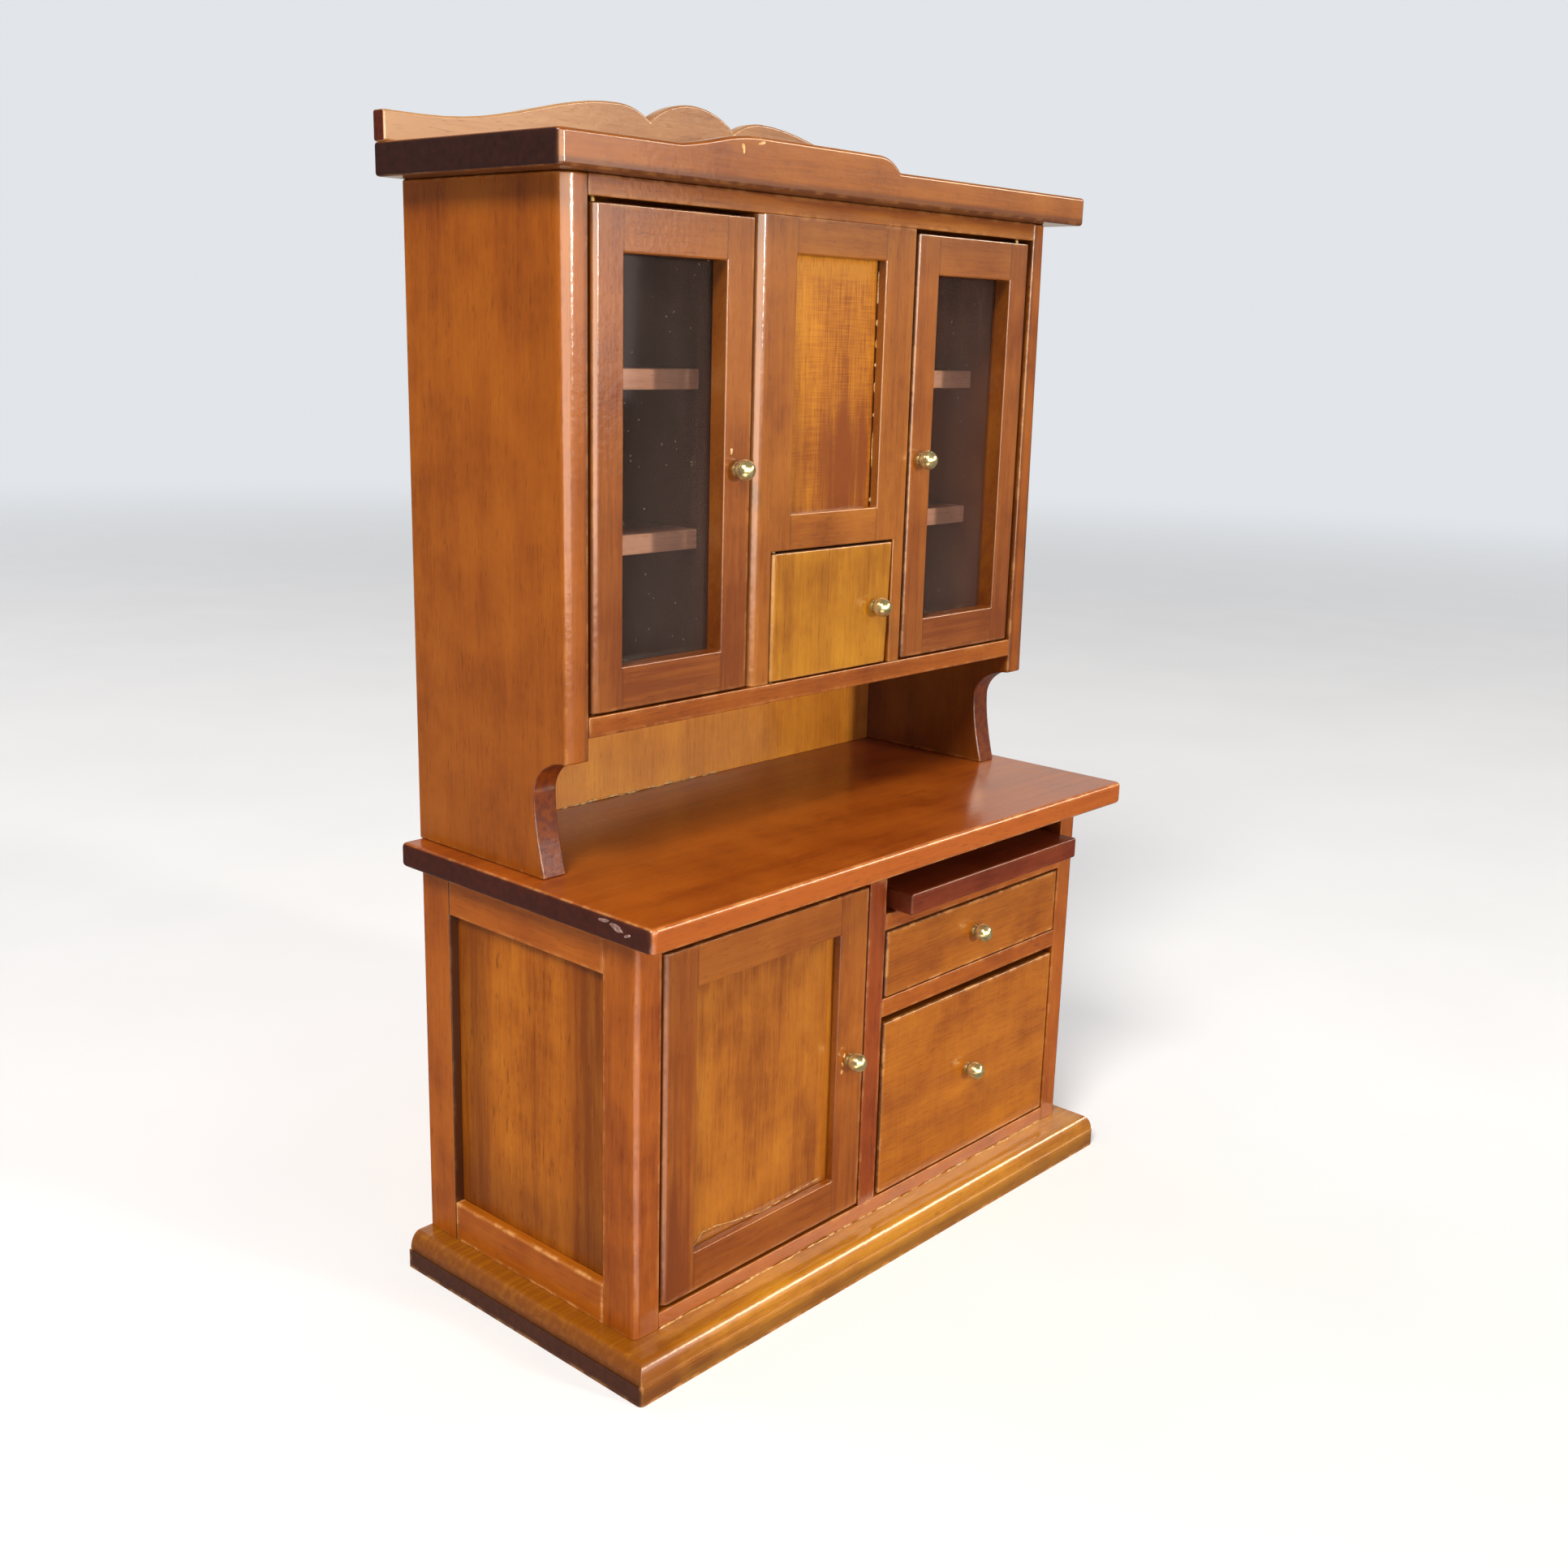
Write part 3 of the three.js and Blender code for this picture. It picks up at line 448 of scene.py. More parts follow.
    def lacquer(self):
        """Feeds the shader: the colour, an uneven surface, and lacquer with a faint ripple."""
        graph, look, inputs = self.graph, self.look, self.shader.inputs
        graph.feed(self.colour, inputs["Base Color"])
        sheen = graph.total(
            look["roughness"], graph.swing(self.fibres, 0.05), graph.swing(self.blotches, 0.10),
            graph.times(self.end_grain, 0.22))
        graph.feed(sheen, inputs["Roughness"])
        inputs["Coat Weight"].default_value = look["coat"]
        inputs["Coat Roughness"].default_value = COAT_ROUGHNESS
        inputs["Specular IOR Level"].default_value = BASE_SPECULAR
        ripple = graph.noise(self.place, scale=0.9, detail=2, roughness=0.5)
        raised = graph.total(
            graph.times(self.fibres, 0.45), graph.times(self.streaks, 0.6),
            graph.times(ripple, 0.9), graph.times(self.pores, -0.5))
        graph.feed(graph.bump(raised, GRAIN_RELIEF), inputs["Normal"])
        graph.feed(graph.bump(ripple, COAT_RELIEF), inputs["Coat Normal"])


def stain(red, green, blue, depth=1.0):
    """The dark, middle and light tones of one stain, from its middle tone in display values."""
    middle = srgb(red, green, blue)
    dark = tuple(m * (1 - depth * loss) for m, loss in zip(middle, (0.42, 0.56, 0.62, 0.0)))
    light = tuple(m * (1 + depth * gain) for m, gain in zip(middle, (0.28, 0.46, 0.45, 0.0)))
    return dark, middle, light


SIDE_STAIN = stain(150, 77, 10)
FRONT_STAIN = stain(154, 86, 16)
DOOR_STAIN = stain(148, 80, 18)
PANEL_STAIN = stain(178, 106, 12, 1.2)
LOWER_STAIN = stain(161, 81, 9)
LOWER_DOOR_STAIN = stain(158, 85, 16)
SIDE_PANEL_STAIN = stain(172, 95, 14)
LOWER_PANEL_STAIN = stain(168, 96, 14, 1.1)
DRAWER_STAIN = stain(167, 92, 6)
SMALL_DOOR_STAIN = stain(172, 110, 14)
DIVIDER_STAIN = stain(146, 64, 10)
WORKTOP_STAIN = stain(156, 73, 14)
BASE_STAIN = stain(182, 116, 18)
CORNICE_STAIN = stain(144, 78, 16)
GALLERY_STAIN = stain(164, 114, 74)
BOARD_STAIN = stain(118, 46, 14)
# The shelves' pale tone is partly their own wood and partly painted light for the dim bays.
SHELF_TONES_AND_LIGHT = stain(244, 188, 162, 0.6)
# Painted shade: the partitions inside the glazed bays take this dark tone in place of their shade.
PARTITION_SHADE_TONES = stain(92, 62, 46)
RAW_WOOD = stain(208, 168, 118, 0.6)
NICHE_STAIN = stain(206, 130, 36, 0.8)


# ------------------------------------------------------------------ brass and glass


def brass(name, dull, middle, bright, roughness):
    """Brass with faint turning marks and a little tarnish."""
    material, graph, shader = new_material(name)
    place = graph.place()
    tarnish = graph.noise(place, scale=1.1, detail=4, roughness=0.6)
    rings = graph.noise(graph.stretch(place, (0.3, 14.0, 0.3)), detail=2)
    colour = graph.ramp(tarnish, ((0.32, dull), (0.5, middle), (0.7, bright)))
    graph.feed(colour, shader.inputs["Base Color"])
    shader.inputs["Metallic"].default_value = 0.75
    graph.feed(graph.total(roughness, graph.swing(tarnish, 0.12)), shader.inputs["Roughness"])
    graph.feed(graph.bump(graph.total(rings, tarnish), 0.006 * MM), shader.inputs["Normal"])
    return material


def glass():
    """A thin, slightly smoky pane: light goes straight through it, and its outside reflects."""
    material = bpy.data.materials.new("window_glass")
    material.use_nodes = True
    tree = material.node_tree
    tree.nodes.clear()
    graph = Graph(tree)
    place = graph.place()
    smear = graph.noise(graph.stretch(place, (0.12, 1.0, 0.05)), detail=3, roughness=0.6)
    dust = graph.smooth(graph.cells(place, 0.55), 0.05, 0.09, 1.0, 0.0)

    clear = graph.add("ShaderNodeBsdfTransparent")
    tint = graph.ramp(smear, ((0.35, srgb(240, 236, 233)), (0.65, srgb(248, 246, 244))))
    graph.feed(tint, clear.inputs[0])
    gloss = graph.add("ShaderNodeBsdfGlossy")
    gloss.inputs["Roughness"].default_value = 0.05
    haze = graph.add("ShaderNodeBsdfDiffuse")
    haze.inputs["Color"].default_value = srgb(160, 136, 128)
    fresnel = graph.add("ShaderNodeFresnel")
    fresnel.inputs["IOR"].default_value = 1.5

    inside = graph.add("ShaderNodeNewGeometry").outputs["Backfacing"]
    outside = graph.math("SUBTRACT", 1.0, inside)
    shine = graph.times(graph.times(fresnel.outputs[0], 0.45), outside)
    surface = graph.mix_shaders(shine, clear.outputs[0], gloss.outputs[0])
    low_haze = graph.smooth(graph.split(place)["z"], 130.0, 104.0, 0.0, 0.03)
    film = graph.total(0.04, low_haze, graph.times(smear, 0.09), graph.times(dust, 0.4))
    hazy = graph.mix_shaders(graph.times(film, outside), surface, haze.outputs[0])
    output = graph.add("ShaderNodeOutputMaterial")
    graph.feed(hazy, output.inputs[0])
    return material


# ------------------------------------------------------------------ geometry of the boards

NEAR = 0.02 * MM
WELD_REACH = 0.005 * MM
ARRIS_SEGMENTS = 5
EDGE_SEGMENTS = 3
BRASS_EDGE_SEGMENTS = 2


def clear_imported_shading(mesh):
    """Drops the imported split normals and sharp marks, so that the modifiers shade the board."""
    for name in ("custom_normal", "sharp_edge", "sharp_face"):
        if name in mesh.attributes:
            mesh.attributes.remove(mesh.attributes[name])
    mesh.shade_smooth()


def weld_points(node):
    weld = node.modifiers.new("weld", "WELD")
    weld.merge_threshold = WELD_REACH


def round_edges(node, angle, width, segments):
    """Rounds every edge sharper than an angle in degrees, and returns the modifier."""
    edge = node.modifiers.new("edges", "BEVEL")
    edge.limit_method = "ANGLE"
    edge.angle_limit = math.radians(angle)
    edge.width = width * MM
    edge.segments = segments
    return edge


def weight_normals(node):
    normals = node.modifiers.new("normals", "WEIGHTED_NORMAL")
    normals.keep_sharp = True


def lies_on(point, plane, low, high):
    """Whether a point is on one end plane of a box, such as "-x"."""
    axis = "xyz".index(plane[1])
    end = low[axis] if plane[0] == "-" else high[axis]
    return abs(point[axis] - end) < NEAR


def round_arris(name, radius, planes):
    """Rounds the arris of a board where two end planes of its box meet."""
    board = NODES[name]
    low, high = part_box(name)
    chosen = [
        vertex.index for vertex in board.data.vertices
        if all(lies_on(vertex.co, plane, low, high) for plane in planes)
    ]
    group = board.vertex_groups.new(name="_".join(planes))
    group.add(chosen, 1.0, "REPLACE")
    rounding = board.modifiers.new("arris", "BEVEL")
    rounding.limit_method = "VGROUP"
    rounding.vertex_group = group.name
    rounding.width = radius * MM
    rounding.segments = ARRIS_SEGMENTS
    rounding.use_clamp_overlap = False


def soften(name, width, arrises):
    """Welds a CAD board and rounds its edges; arrises lists (radius, plane, plane) to round more."""
    board = NODES[name]
    clear_imported_shading(board.data)
    weld_points(board)
    flat = board.modifiers.new("flat_faces", "DECIMATE")
    flat.decimate_type = "DISSOLVE"
    flat.angle_limit = math.radians(1.0)
    for radius, *planes in arrises:
        round_arris(name, radius, planes)
    edge = round_edges(board, 40.0, width, EDGE_SEGMENTS)
    edge.use_clamp_overlap = False
    weight_normals(board)


def finish_with(name, material):
    board = NODES[name]
    board.data.materials.clear()
    board.data.materials.append(material)


# ------------------------------------------------------------------ dressing the boards

WORKTOP_FRONT = box_in_millimetres("worktop")[0][1]
LOWER_DOOR_STILE = 6.4
GLAZED_DOOR_STILE = 5.5
CENTRE_FRAME_JOINTS = (-9.6, 10.8)
FOOT_SCOOP_TOP = 88.6
FOOT_SCOOP_TONE = srgb(92, 36, 18)

# Each board's number in the order of dressing picks the stretch of grain it is cut from.
BOARD_NUMBERS = itertools.count(1)
SPOT_STEP = 1.37


def stained(name, grain, tones, width, arrises=(), **look):
    """Rounds a board's edges to a width and gives it a wood finish of its own."""
    soften(name, width, arrises)
    seed = next(BOARD_NUMBERS) * SPOT_STEP
    finish_with(name, Wood(f"wood_{name}", name, grain, tones, seed, look).finish())


def dress_lower_side(side, outer):
    """One framed side of the lower cabinet: two stiles, two rails and the panel between them."""
    reveal = box_in_millimetres(f"{side}_back_stile")[0][1]
    stained(f"{side}_front_stile", "z", LOWER_STAIN, width=0.12, arrises=[(1.2, outer, "-y")])
    stained(f"{side}_back_stile", "z", LOWER_STAIN, width=0.12, arrises=[(0.6, outer, "+y")],
            wear=0.08, lines=(("y", reveal, 0.25, 0.85),))
    stained(f"{side}_top_rail", "y", LOWER_STAIN, width=0.12, end_dark=0.0)
    # Painted highlight: the rail's top face and arrises go pale, as where light catches them under the
    # panel.
    stained(f"{side}_bottom_rail", "y", LOWER_STAIN, width=0.12, end_dark=0.0, wear=0.9,
            shade=(("z", 11.7, 12.2, 1.0, "light"),))
    stained(f"{side}_panel", "z", SIDE_PANEL_STAIN, width=0.05, streaks=0.10, flecks=0.55,
            blotches=0.42, bands=0.20, wear=0.0, coat=0.3,
            shade=(("y", -2.5, -6.5, 0.7, "dark"), ("y", 11.5, 15.0, 0.6, "dark"),
                   ("z", 28.0, 12.0, 0.4, "dark")),
            lines=(("y", -12.0, 7.5, 0.26), ("y", 19.5, 7.5, 0.22), ("z", 9.0, 18.0, 0.20)))


def dress_lower_cabinet():
    # The left end is darkened twice, so that its paler streaks go dark as well.
    stained("base_board", "x", BASE_STAIN, width=0.05, arrises=[(0.8, "-x", "-y"), (0.8, "+x", "-y")],
            streaks=0.2, wear=0.55, end_dark=0.4, end_tone=srgb(104, 46, 20), coat=0.9,
            shade=(("x", -49.5, -52.5, 1.0, "dark"), ("x", -49.5, -52.0, 0.6, "dark"),
                   ("x", 53.0, 57.0, 0.6, "dark")),
            lines=(("x", -58.2, 0.42, 0.92), ("x", 58.2, 0.42, 0.92), ("z", 0.0, 3.4, 0.4)))
    for side, outer in (("left", "-x"), ("right", "+x")):
        dress_lower_side(side, outer)
    stained("lower_floor", "x", LOWER_STAIN, width=0.2, bands=0.2)
    stained("lower_top", "x", LOWER_STAIN, width=0.2)
    stained("lower_divider", "z", DIVIDER_STAIN, width=0.15)
    stained("drawer_shelf", "x", LOWER_STAIN, width=0.15)
    stained("board_shelf", "x", LOWER_STAIN, width=0.15)
    stained("lower_back", "z", NICHE_STAIN, width=0.15)
    # Painted shade: the worktop darkens towards the back, under the upper cabinet.
    stained("worktop", "x", WORKTOP_STAIN, width=0.7, bands=0.24, streaks=0.12, wear=0.6,
            end_dark=0.97, end_tone=srgb(66, 20, 9),
            shade=(("y", 8.0, 25.0, 0.35, "dark"),
                   ("y", WORKTOP_FRONT + 0.8, WORKTOP_FRONT + 0.3, 0.9, "light")))


def dress_lower_door():
    low, high = box_in_millimetres("lower_door_frame")
    stained("lower_door_frame", "x", LOWER_DOOR_STAIN, width=0.25, arrises=[(1.4, "-x", "-y")],
            frame_joints=(low[0] + LOWER_DOOR_STILE, high[0] - LOWER_DOOR_STILE),
            end_dark=0.0, outline=0.9,
            shade=(("z", 34.0, 12.0, 0.6, "dark"), ("x", -41.9, -42.1, 0.4, "dark")),
            patches=(("x", -46.0, 4.0, "z", 14.0, 18.0, 1.0),), lines=(("x", -48.4, 4.0, 0.1),))
    stained("lower_door_panel", "z", LOWER_PANEL_STAIN, width=0.05, pool=0.5, pool_width=3.5,
            streaks=0.12, blotches=0.42, wear=0.0)


def dress_drawers():
    for name, weave in (("small_drawer", 0.0), ("large_drawer", 0.25)):
        stained(f"{name}_front", "x", DRAWER_STAIN, width=0.35, weave=weave, wear=0.6,
                end_dark=0.4, outline=0.9)
        stained(f"{name}_tray", "x", RAW_WOOD, width=0.15, coat=0.0, roughness=0.6, end_dark=0.2,
                end_tone=srgb(170, 120, 74))
    stained("pull_out_board", "x", BOARD_STAIN, width=0.4, end_dark=0.2, coat=0.4, wear=0.3,
            wear_tone=srgb(158, 90, 56))


def dress_upper_cabinet():
    for side, outer, turn in (("left", "-x", -1), ("right", "+x", 1)):
        # The deep brown line darkens each side's inner face: painted shade in the niche and the glazed
        # bays.
        stained(f"upper_{side}_side", "z", SIDE_STAIN, width=0.3,
                arrises=[(2.2, outer, "-y"), (0.5, outer, "+y")], wear=0.3, streaks=0.06, fibres=0.14,
                lines=(("x", turn * 49.7, 1.4, 0.45),), scoop=(FOOT_SCOOP_TOP, FOOT_SCOOP_TONE))
        # Painted shade: the partitions are dark, darkest on their bay faces.
        stained(f"{side}_partition", "z", PARTITION_SHADE_TONES, width=0.1, end_dark=0.0, coat=0.0,
                roughness=0.6, lines=(("x", turn * 18.0, 3.0, 0.6),))
        for level in ("lower", "upper"):
            # Painted shade: each shelf goes deep brown behind its front edge, over its top and underside.
            stained(f"{side}_{level}_shelf", "x", SHELF_TONES_AND_LIGHT, width=0.2, end_dark=0.0,
                    lines=(("y", 15.4, 10.0, 0.9),))
    stained("upper_floor", "x", SIDE_STAIN, width=0.2)
    # Painted shadow of the cornice: the rail beneath it darkens towards the top.
    stained("upper_ceiling", "x", FRONT_STAIN, width=0.15, shade=(("z", 163.6, 165.4, 1.0, "dark"),))
    stained("upper_back", "z", NICHE_STAIN, width=0.1, wear=0.0)
    stained("centre_shelf", "x", SHELF_TONES_AND_LIGHT, width=0.1)


def dress_glazed_door(side, rounding):
    low, high = box_in_millimetres(f"{side}_glazed_door_frame")
    stained(f"{side}_glazed_door_frame", "x", DOOR_STAIN, width=0.25, arrises=[(rounding, "-x", "-y")],
            frame_joints=(low[0] + GLAZED_DOOR_STILE, high[0] - GLAZED_DOOR_STILE),
            end_dark=0.0, outline=0.9, coat=0.95, shade=(("z", 128.0, 98.0, 0.7, "dark"),))
    finish_with(f"{side}_glazed_door_pane", glass())


def dress_upper_front():
    # Painted shadow of the cornice: the top of the frame darkens.
    stained("centre_frame", "x", FRONT_STAIN, width=0.25, arrises=[(1.8, "-x", "-y")],
            frame_joints=CENTRE_FRAME_JOINTS, end_dark=0.0, coat=0.95,
            shade=(("z", 161.0, 163.0, 0.6, "dark"),))
    stained("centre_panel", "z", PANEL_STAIN, width=0.05, weave=0.7, pool=0.4, pool_width=1.6,
            wear=0.0, lines=(("x", 10.9, 0.5, 0.95),),
            patches=(("x", 4.5, 6.5, "z", 127.0, 11.0, 1.0),),
            shade=(("z", 146.0, 126.0, 0.5, "dark"), ("x", -8.2, -9.4, 0.9, "light"),
                   ("z", 153.5, 156.8, 0.9, "light")))
    dress_glazed_door("left", rounding=1.8)
    dress_glazed_door("right", rounding=0.45)
    stained("small_door", "z", SMALL_DOOR_STAIN, width=0.3, outline=0.9)
    stained("cornice", "x", CORNICE_STAIN, width=0.5, arrises=[(1.2, "-x", "-y"), (1.0, "+x", "-y")],
            end_dark=1.0, end_tone=srgb(52, 19, 10), wear=0.2,
            shade=(("z", 167.0, 165.6, 0.9, "dark"),), lines=(("z", 165.6, 1.5, 0.4),))
    # Painted reflection: the gallery goes towards its light tone at the left, as a pale sheen.
    stained("gallery", "x", GALLERY_STAIN, width=0.35, end_dark=1.0, end_tone=srgb(86, 26, 6),
            wear=0.12, shade=(("x", 5.0, -48.0, 1.0, "light"),))


def dress_brass():
    knob_brass = brass("brass", srgb(172, 154, 102), srgb(200, 184, 132), srgb(222, 210, 162), 0.22)
    pin_brass = brass("dull_brass", srgb(70, 50, 26), srgb(120, 92, 50), srgb(160, 130, 80), 0.45)
    for name, node in NODES.items():
        if name.endswith(("_knob", "_pin")):
            clear_imported_shading(node.data)
            weld_points(node)
            round_edges(node, 50.0, 0.06, BRASS_EDGE_SEGMENTS)
            weight_normals(node)
            finish_with(name, knob_brass if name.endswith("_knob") else pin_brass)


# ------------------------------------------------------------------ flecks of glue and lacquer

CHIP_CORNERS = 9
CHIP_SUNK = 0.05
CHIP_THICKNESS = 0.14
CHIP_TOP_SHARE = 0.72


def residue(name, dark, middle, light):
    """Dried glue or bruised lacquer, slightly glossy and uneven."""
    material, graph, shader = new_material(name)
    cloud = graph.noise(graph.place(), scale=1.6, detail=3, roughness=0.6)
    graph.feed(graph.ramp(cloud, ((0.35, dark), (0.5, middle), (0.68, light))), shader.inputs["Base Color"])
    shader.inputs["Roughness"].default_value = 0.35
    graph.feed(graph.bump(cloud, 0.05 * MM), shader.inputs["Normal"])
    return material


def chip_faces(start):
    """The sides, underside and top of one chip whose points begin at an index."""
    upper = start + CHIP_CORNERS
    faces = []
    for corner in range(CHIP_CORNERS):
        following = (corner + 1) % CHIP_CORNERS
        faces.append((start + corner, start + following, upper + following, upper + corner))
    faces.append(tuple(start + corner for corner in reversed(range(CHIP_CORNERS))))
    faces.append(tuple(upper + corner for corner in range(CHIP_CORNERS)))
    return faces


def add_flecks(name, body, spots, material, seed):
    """One mesh of small irregular flat chips that rides on a body.

    spots lists (centre, along, out, length, width) in millimetres; along and out are unit
    vectors along the chip and away from the surface it sits on.
    """
    chance = random.Random(seed)
    points, faces = [], []
    for centre, along, out, length, width in spots:
        along, out = Vector(along), Vector(out)
        across = out.cross(along)
        faces += chip_faces(len(points))
        for lift, share in ((-CHIP_SUNK, 1.0), (CHIP_THICKNESS, CHIP_TOP_SHARE)):
            for corner in range(CHIP_CORNERS):
                angle = 2 * math.pi * corner / CHIP_CORNERS
                jitter = 0.75 + 0.5 * chance.random()
                point = Vector(centre) + along * (0.5 * length * share * jitter * math.cos(angle))
                point += across * (0.5 * width * share * jitter * math.sin(angle)) + out * lift
                points.append(point * MM)
    mesh = bpy.data.meshes.new(name)
    mesh.from_pydata(points, [], faces)
    mesh.materials.append(material)
    chips = bpy.data.objects.new(name, mesh)
    bpy.context.scene.collection.objects.link(chips)
    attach(chips, body)


def row_of_chips(start, end, count, out, lengths, widths, seed, scatter=0.0):
    """Spots for chips along a line on a surface, scattered a little to both sides of it."""
    chance = random.Random(seed)
    start, end = Vector(start), Vector(end)
    along = (end - start).normalized()
    sideways = Vector(out).cross(along)
    spots = []
    for step in range(count):
        share = (step + 0.2 + 0.6 * chance.random()) / count
        centre = start.lerp(end, share) + sideways * (scatter * (chance.random() - 0.5))
        spots.append((centre, along, out, chance.uniform(*lengths), chance.uniform(*widths)))
    return spots


def add_joint_glue(glue):
    """Glue squeezed out along the back of the niche and along the top of the base."""
    niche_back, niche_floor = 25.35, 71.05
    niche = row_of_chips(
        (-48.0, niche_back, niche_floor), (8.0, niche_back, niche_floor), count=26, out=FRONTWARD,
        lengths=(1.2, 3.4), widths=(0.2, 0.45), seed=3, scatter=0.2)
    add_flecks("niche_glue", "carcass", niche, glue, seed=4)
    joint_front, joint_height, joint_end = -20.75, 5.95, 49.0
    joint = row_of_chips(
        (-joint_end, joint_front, joint_height), (joint_end, joint_front, joint_height), count=40,
        out=UPWARD, lengths=(1.6, 3.6), widths=(0.12, 0.34), seed=5, scatter=0.25)
    add_flecks("base_joint_glue", "carcass", joint, glue, seed=6)


def add_upper_chips(glue):
    """Lacquer chips down the reveal of the centre panel, and two splinters on the cornice."""
    reveal_right, reveal_middle = 10.78, -5.15
    slits = (
        (153.5, 5.6, 0.22), (148.4, 1.0, 0.3), (145.2, 1.2, 0.34), (142.0, 0.7, 0.25),
        (138.6, 1.6, 0.2), (134.4, 0.6, 0.24), (129.0, 5.0, 0.14), (121.2, 0.8, 0.4),
    )
    reveal = [
        ((reveal_right, reveal_middle, height), UPWARD, LEFTWARD, length, width)
        for height, length, width in slits
    ]
    add_flecks("centre_panel_lacquer_chips", "carcass", reveal, glue, seed=8)
    cornice_front = -10.9
    ridge = [
        ((-26.0, cornice_front, 170.3), (0.2, 0.0, -0.98), FRONTWARD, 1.7, 0.6),
        ((-22.4, cornice_front, 171.3), (0.97, 0.0, 0.24), FRONTWARD, 1.6, 0.5),
    ]
    add_flecks("cornice_splinters", "carcass", ridge, glue, seed=9)


def add_door_marks(glue):
    """A curved line of glue low on the lower door's panel, and flakes round two knobs."""
    panel_front = box_in_millimetres("lower_door_panel")[0][1]
    curve = (
        (-41.4, 15.0), (-39.0, 17.0), (-36.0, 16.9), (-32.0, 16.2),
        (-26.0, 15.4), (-19.0, 15.8), (-12.5, 16.2),
    )
    line = []
    for (start_x, start_z), (end_x, end_z) in itertools.pairwise(curve):
        line += row_of_chips(
            (start_x, panel_front, start_z), (end_x, panel_front, end_z), count=3, out=FRONTWARD,
            lengths=(1.6, 2.6), widths=(0.09, 0.2), seed=11)
    add_flecks("door_panel_glue_line", "lower_door", line, glue, seed=12)
    frame_front = box_in_millimetres("lower_door_frame")[0][1]
    knob = [
        ((-9.1, frame_front, 36.6), (0.5, 0.0, 0.87), FRONTWARD, 0.9, 0.3),
        ((-9.5, frame_front, 35.2), (-0.3, 0.0, 0.95), FRONTWARD, 1.0, 0.3),
        ((-9.6, frame_front, 33.9), (0.6, 0.0, 0.8), FRONTWARD, 0.8, 0.4),
    ]
    add_flecks("lower_knob_flakes", "lower_door", knob, glue, seed=13)
    glazed_front = box_in_millimetres("left_glazed_door_frame")[0][1]
    flake = [((-22.8, glazed_front, 129.8), (0.1, 0.0, 0.99), FRONTWARD, 1.1, 0.4)]
    add_flecks("glazed_knob_flake", "left_glazed_door", flake, glue, seed=14)


def add_worktop_scuff(bruise):
    """Bruised lacquer on the left end of the worktop, near its front corner."""
    worktop_end = -57.44
    scuff = [
        ((worktop_end, -20.6, 69.5), (0.0, 0.98, 0.17), LEFTWARD, 3.0, 1.1),
        ((worktop_end, -18.0, 70.0), (0.0, 0.99, -0.1), LEFTWARD, 2.6, 0.6),
        ((worktop_end, -22.6, 68.9), (0.0, 0.9, -0.43), LEFTWARD, 1.6, 0.6),
    ]
    add_flecks("worktop_scuff", "carcass", scuff, bruise, seed=15)


def add_small_traces():
    glue = residue("dried_glue", srgb(176, 118, 50), srgb(206, 158, 88), srgb(232, 204, 160))
    bruise = residue("bruised_lacquer", srgb(118, 82, 74), srgb(146, 112, 104), srgb(178, 146, 138))
    add_joint_glue(glue)
    add_upper_chips(glue)
    add_door_marks(glue)
    add_worktop_scuff(bruise)


# ------------------------------------------------------------------ studio


def floor_mesh():
    """A disc of rings round the middle of the floor."""
    points = [(0.0, 0.0, 0.0)]
    faces = []
    for ring in range(1, FLOOR_RINGS + 1):
        radius = FLOOR_RADIUS * ring / FLOOR_RINGS
        for corner in range(FLOOR_CORNERS):
            angle = 2 * math.pi * corner / FLOOR_CORNERS
            points.append((radius * math.cos(angle), radius * math.sin(angle), 0.0))
    for corner in range(FLOOR_CORNERS):
        following = (corner + 1) % FLOOR_CORNERS
        faces.append((0, 1 + corner, 1 + following))
        for ring in range(FLOOR_RINGS - 1):
            inner = 1 + ring * FLOOR_CORNERS
            outer = inner + FLOOR_CORNERS
            faces.append((inner + corner, outer + corner, outer + following, inner + following))
    mesh = bpy.data.meshes.new("floor")
    mesh.from_pydata(points, [], faces)
    return mesh


def floor_paint():
    """Pale paint that turns clear towards the rim of the floor."""
    material, graph, shader = new_material("floor_paint")
    place = graph.place()
    reach = graph.add("ShaderNodeVectorMath", operation="LENGTH")
    graph.feed(place, reach.inputs[0])
    mottle = graph.noise(place, scale=0.02, detail=3)
    paint = graph.ramp(mottle, ((0.3, srgb(226, 225, 224)), (0.7, srgb(230, 229, 228))))
    graph.feed(paint, shader.inputs["Base Color"])
    shader.inputs["Roughness"].default_value = 0.7
    fade = graph.smooth(reach.outputs["Value"], FLOOR_FADE_START / MM, FLOOR_FADE_END / MM, 1.0, 0.0)
    graph.feed(fade, shader.inputs["Alpha"])
    shader.inputs["Specular IOR Level"].default_value = 0.0
    shader.inputs["Emission Color"].default_value = srgb(236, 240, 246)
    shader.inputs["Emission Strength"].default_value = FLOOR_GLOW
    return material


def add_floor():
    """A wide pale floor that fades out into the pale surroundings. Gloss does not mirror it."""
    mesh = floor_mesh()
    floor = bpy.data.objects.new("floor", mesh)
    bpy.context.scene.collection.objects.link(floor)
    mesh.materials.append(floor_paint())
    floor.visible_glossy = False


def aim(item, place, target):
    item.location = place
    item.rotation_euler = (Vector(target) - Vector(place)).to_track_quat("-Z", "Y").to_euler()


def area_lamp(name, shape, width, height, power, colour):
    """A soft light panel that the camera does not see."""
    light = bpy.data.lights.new(name, "AREA")
    light.shape = shape
    light.size = width
    light.size_y = height
    light.energy = power
    light.color = colour[:3]
    lamp = bpy.data.objects.new(name, light)
    bpy.context.scene.collection.objects.link(lamp)
    lamp.visible_camera = False
    return lamp


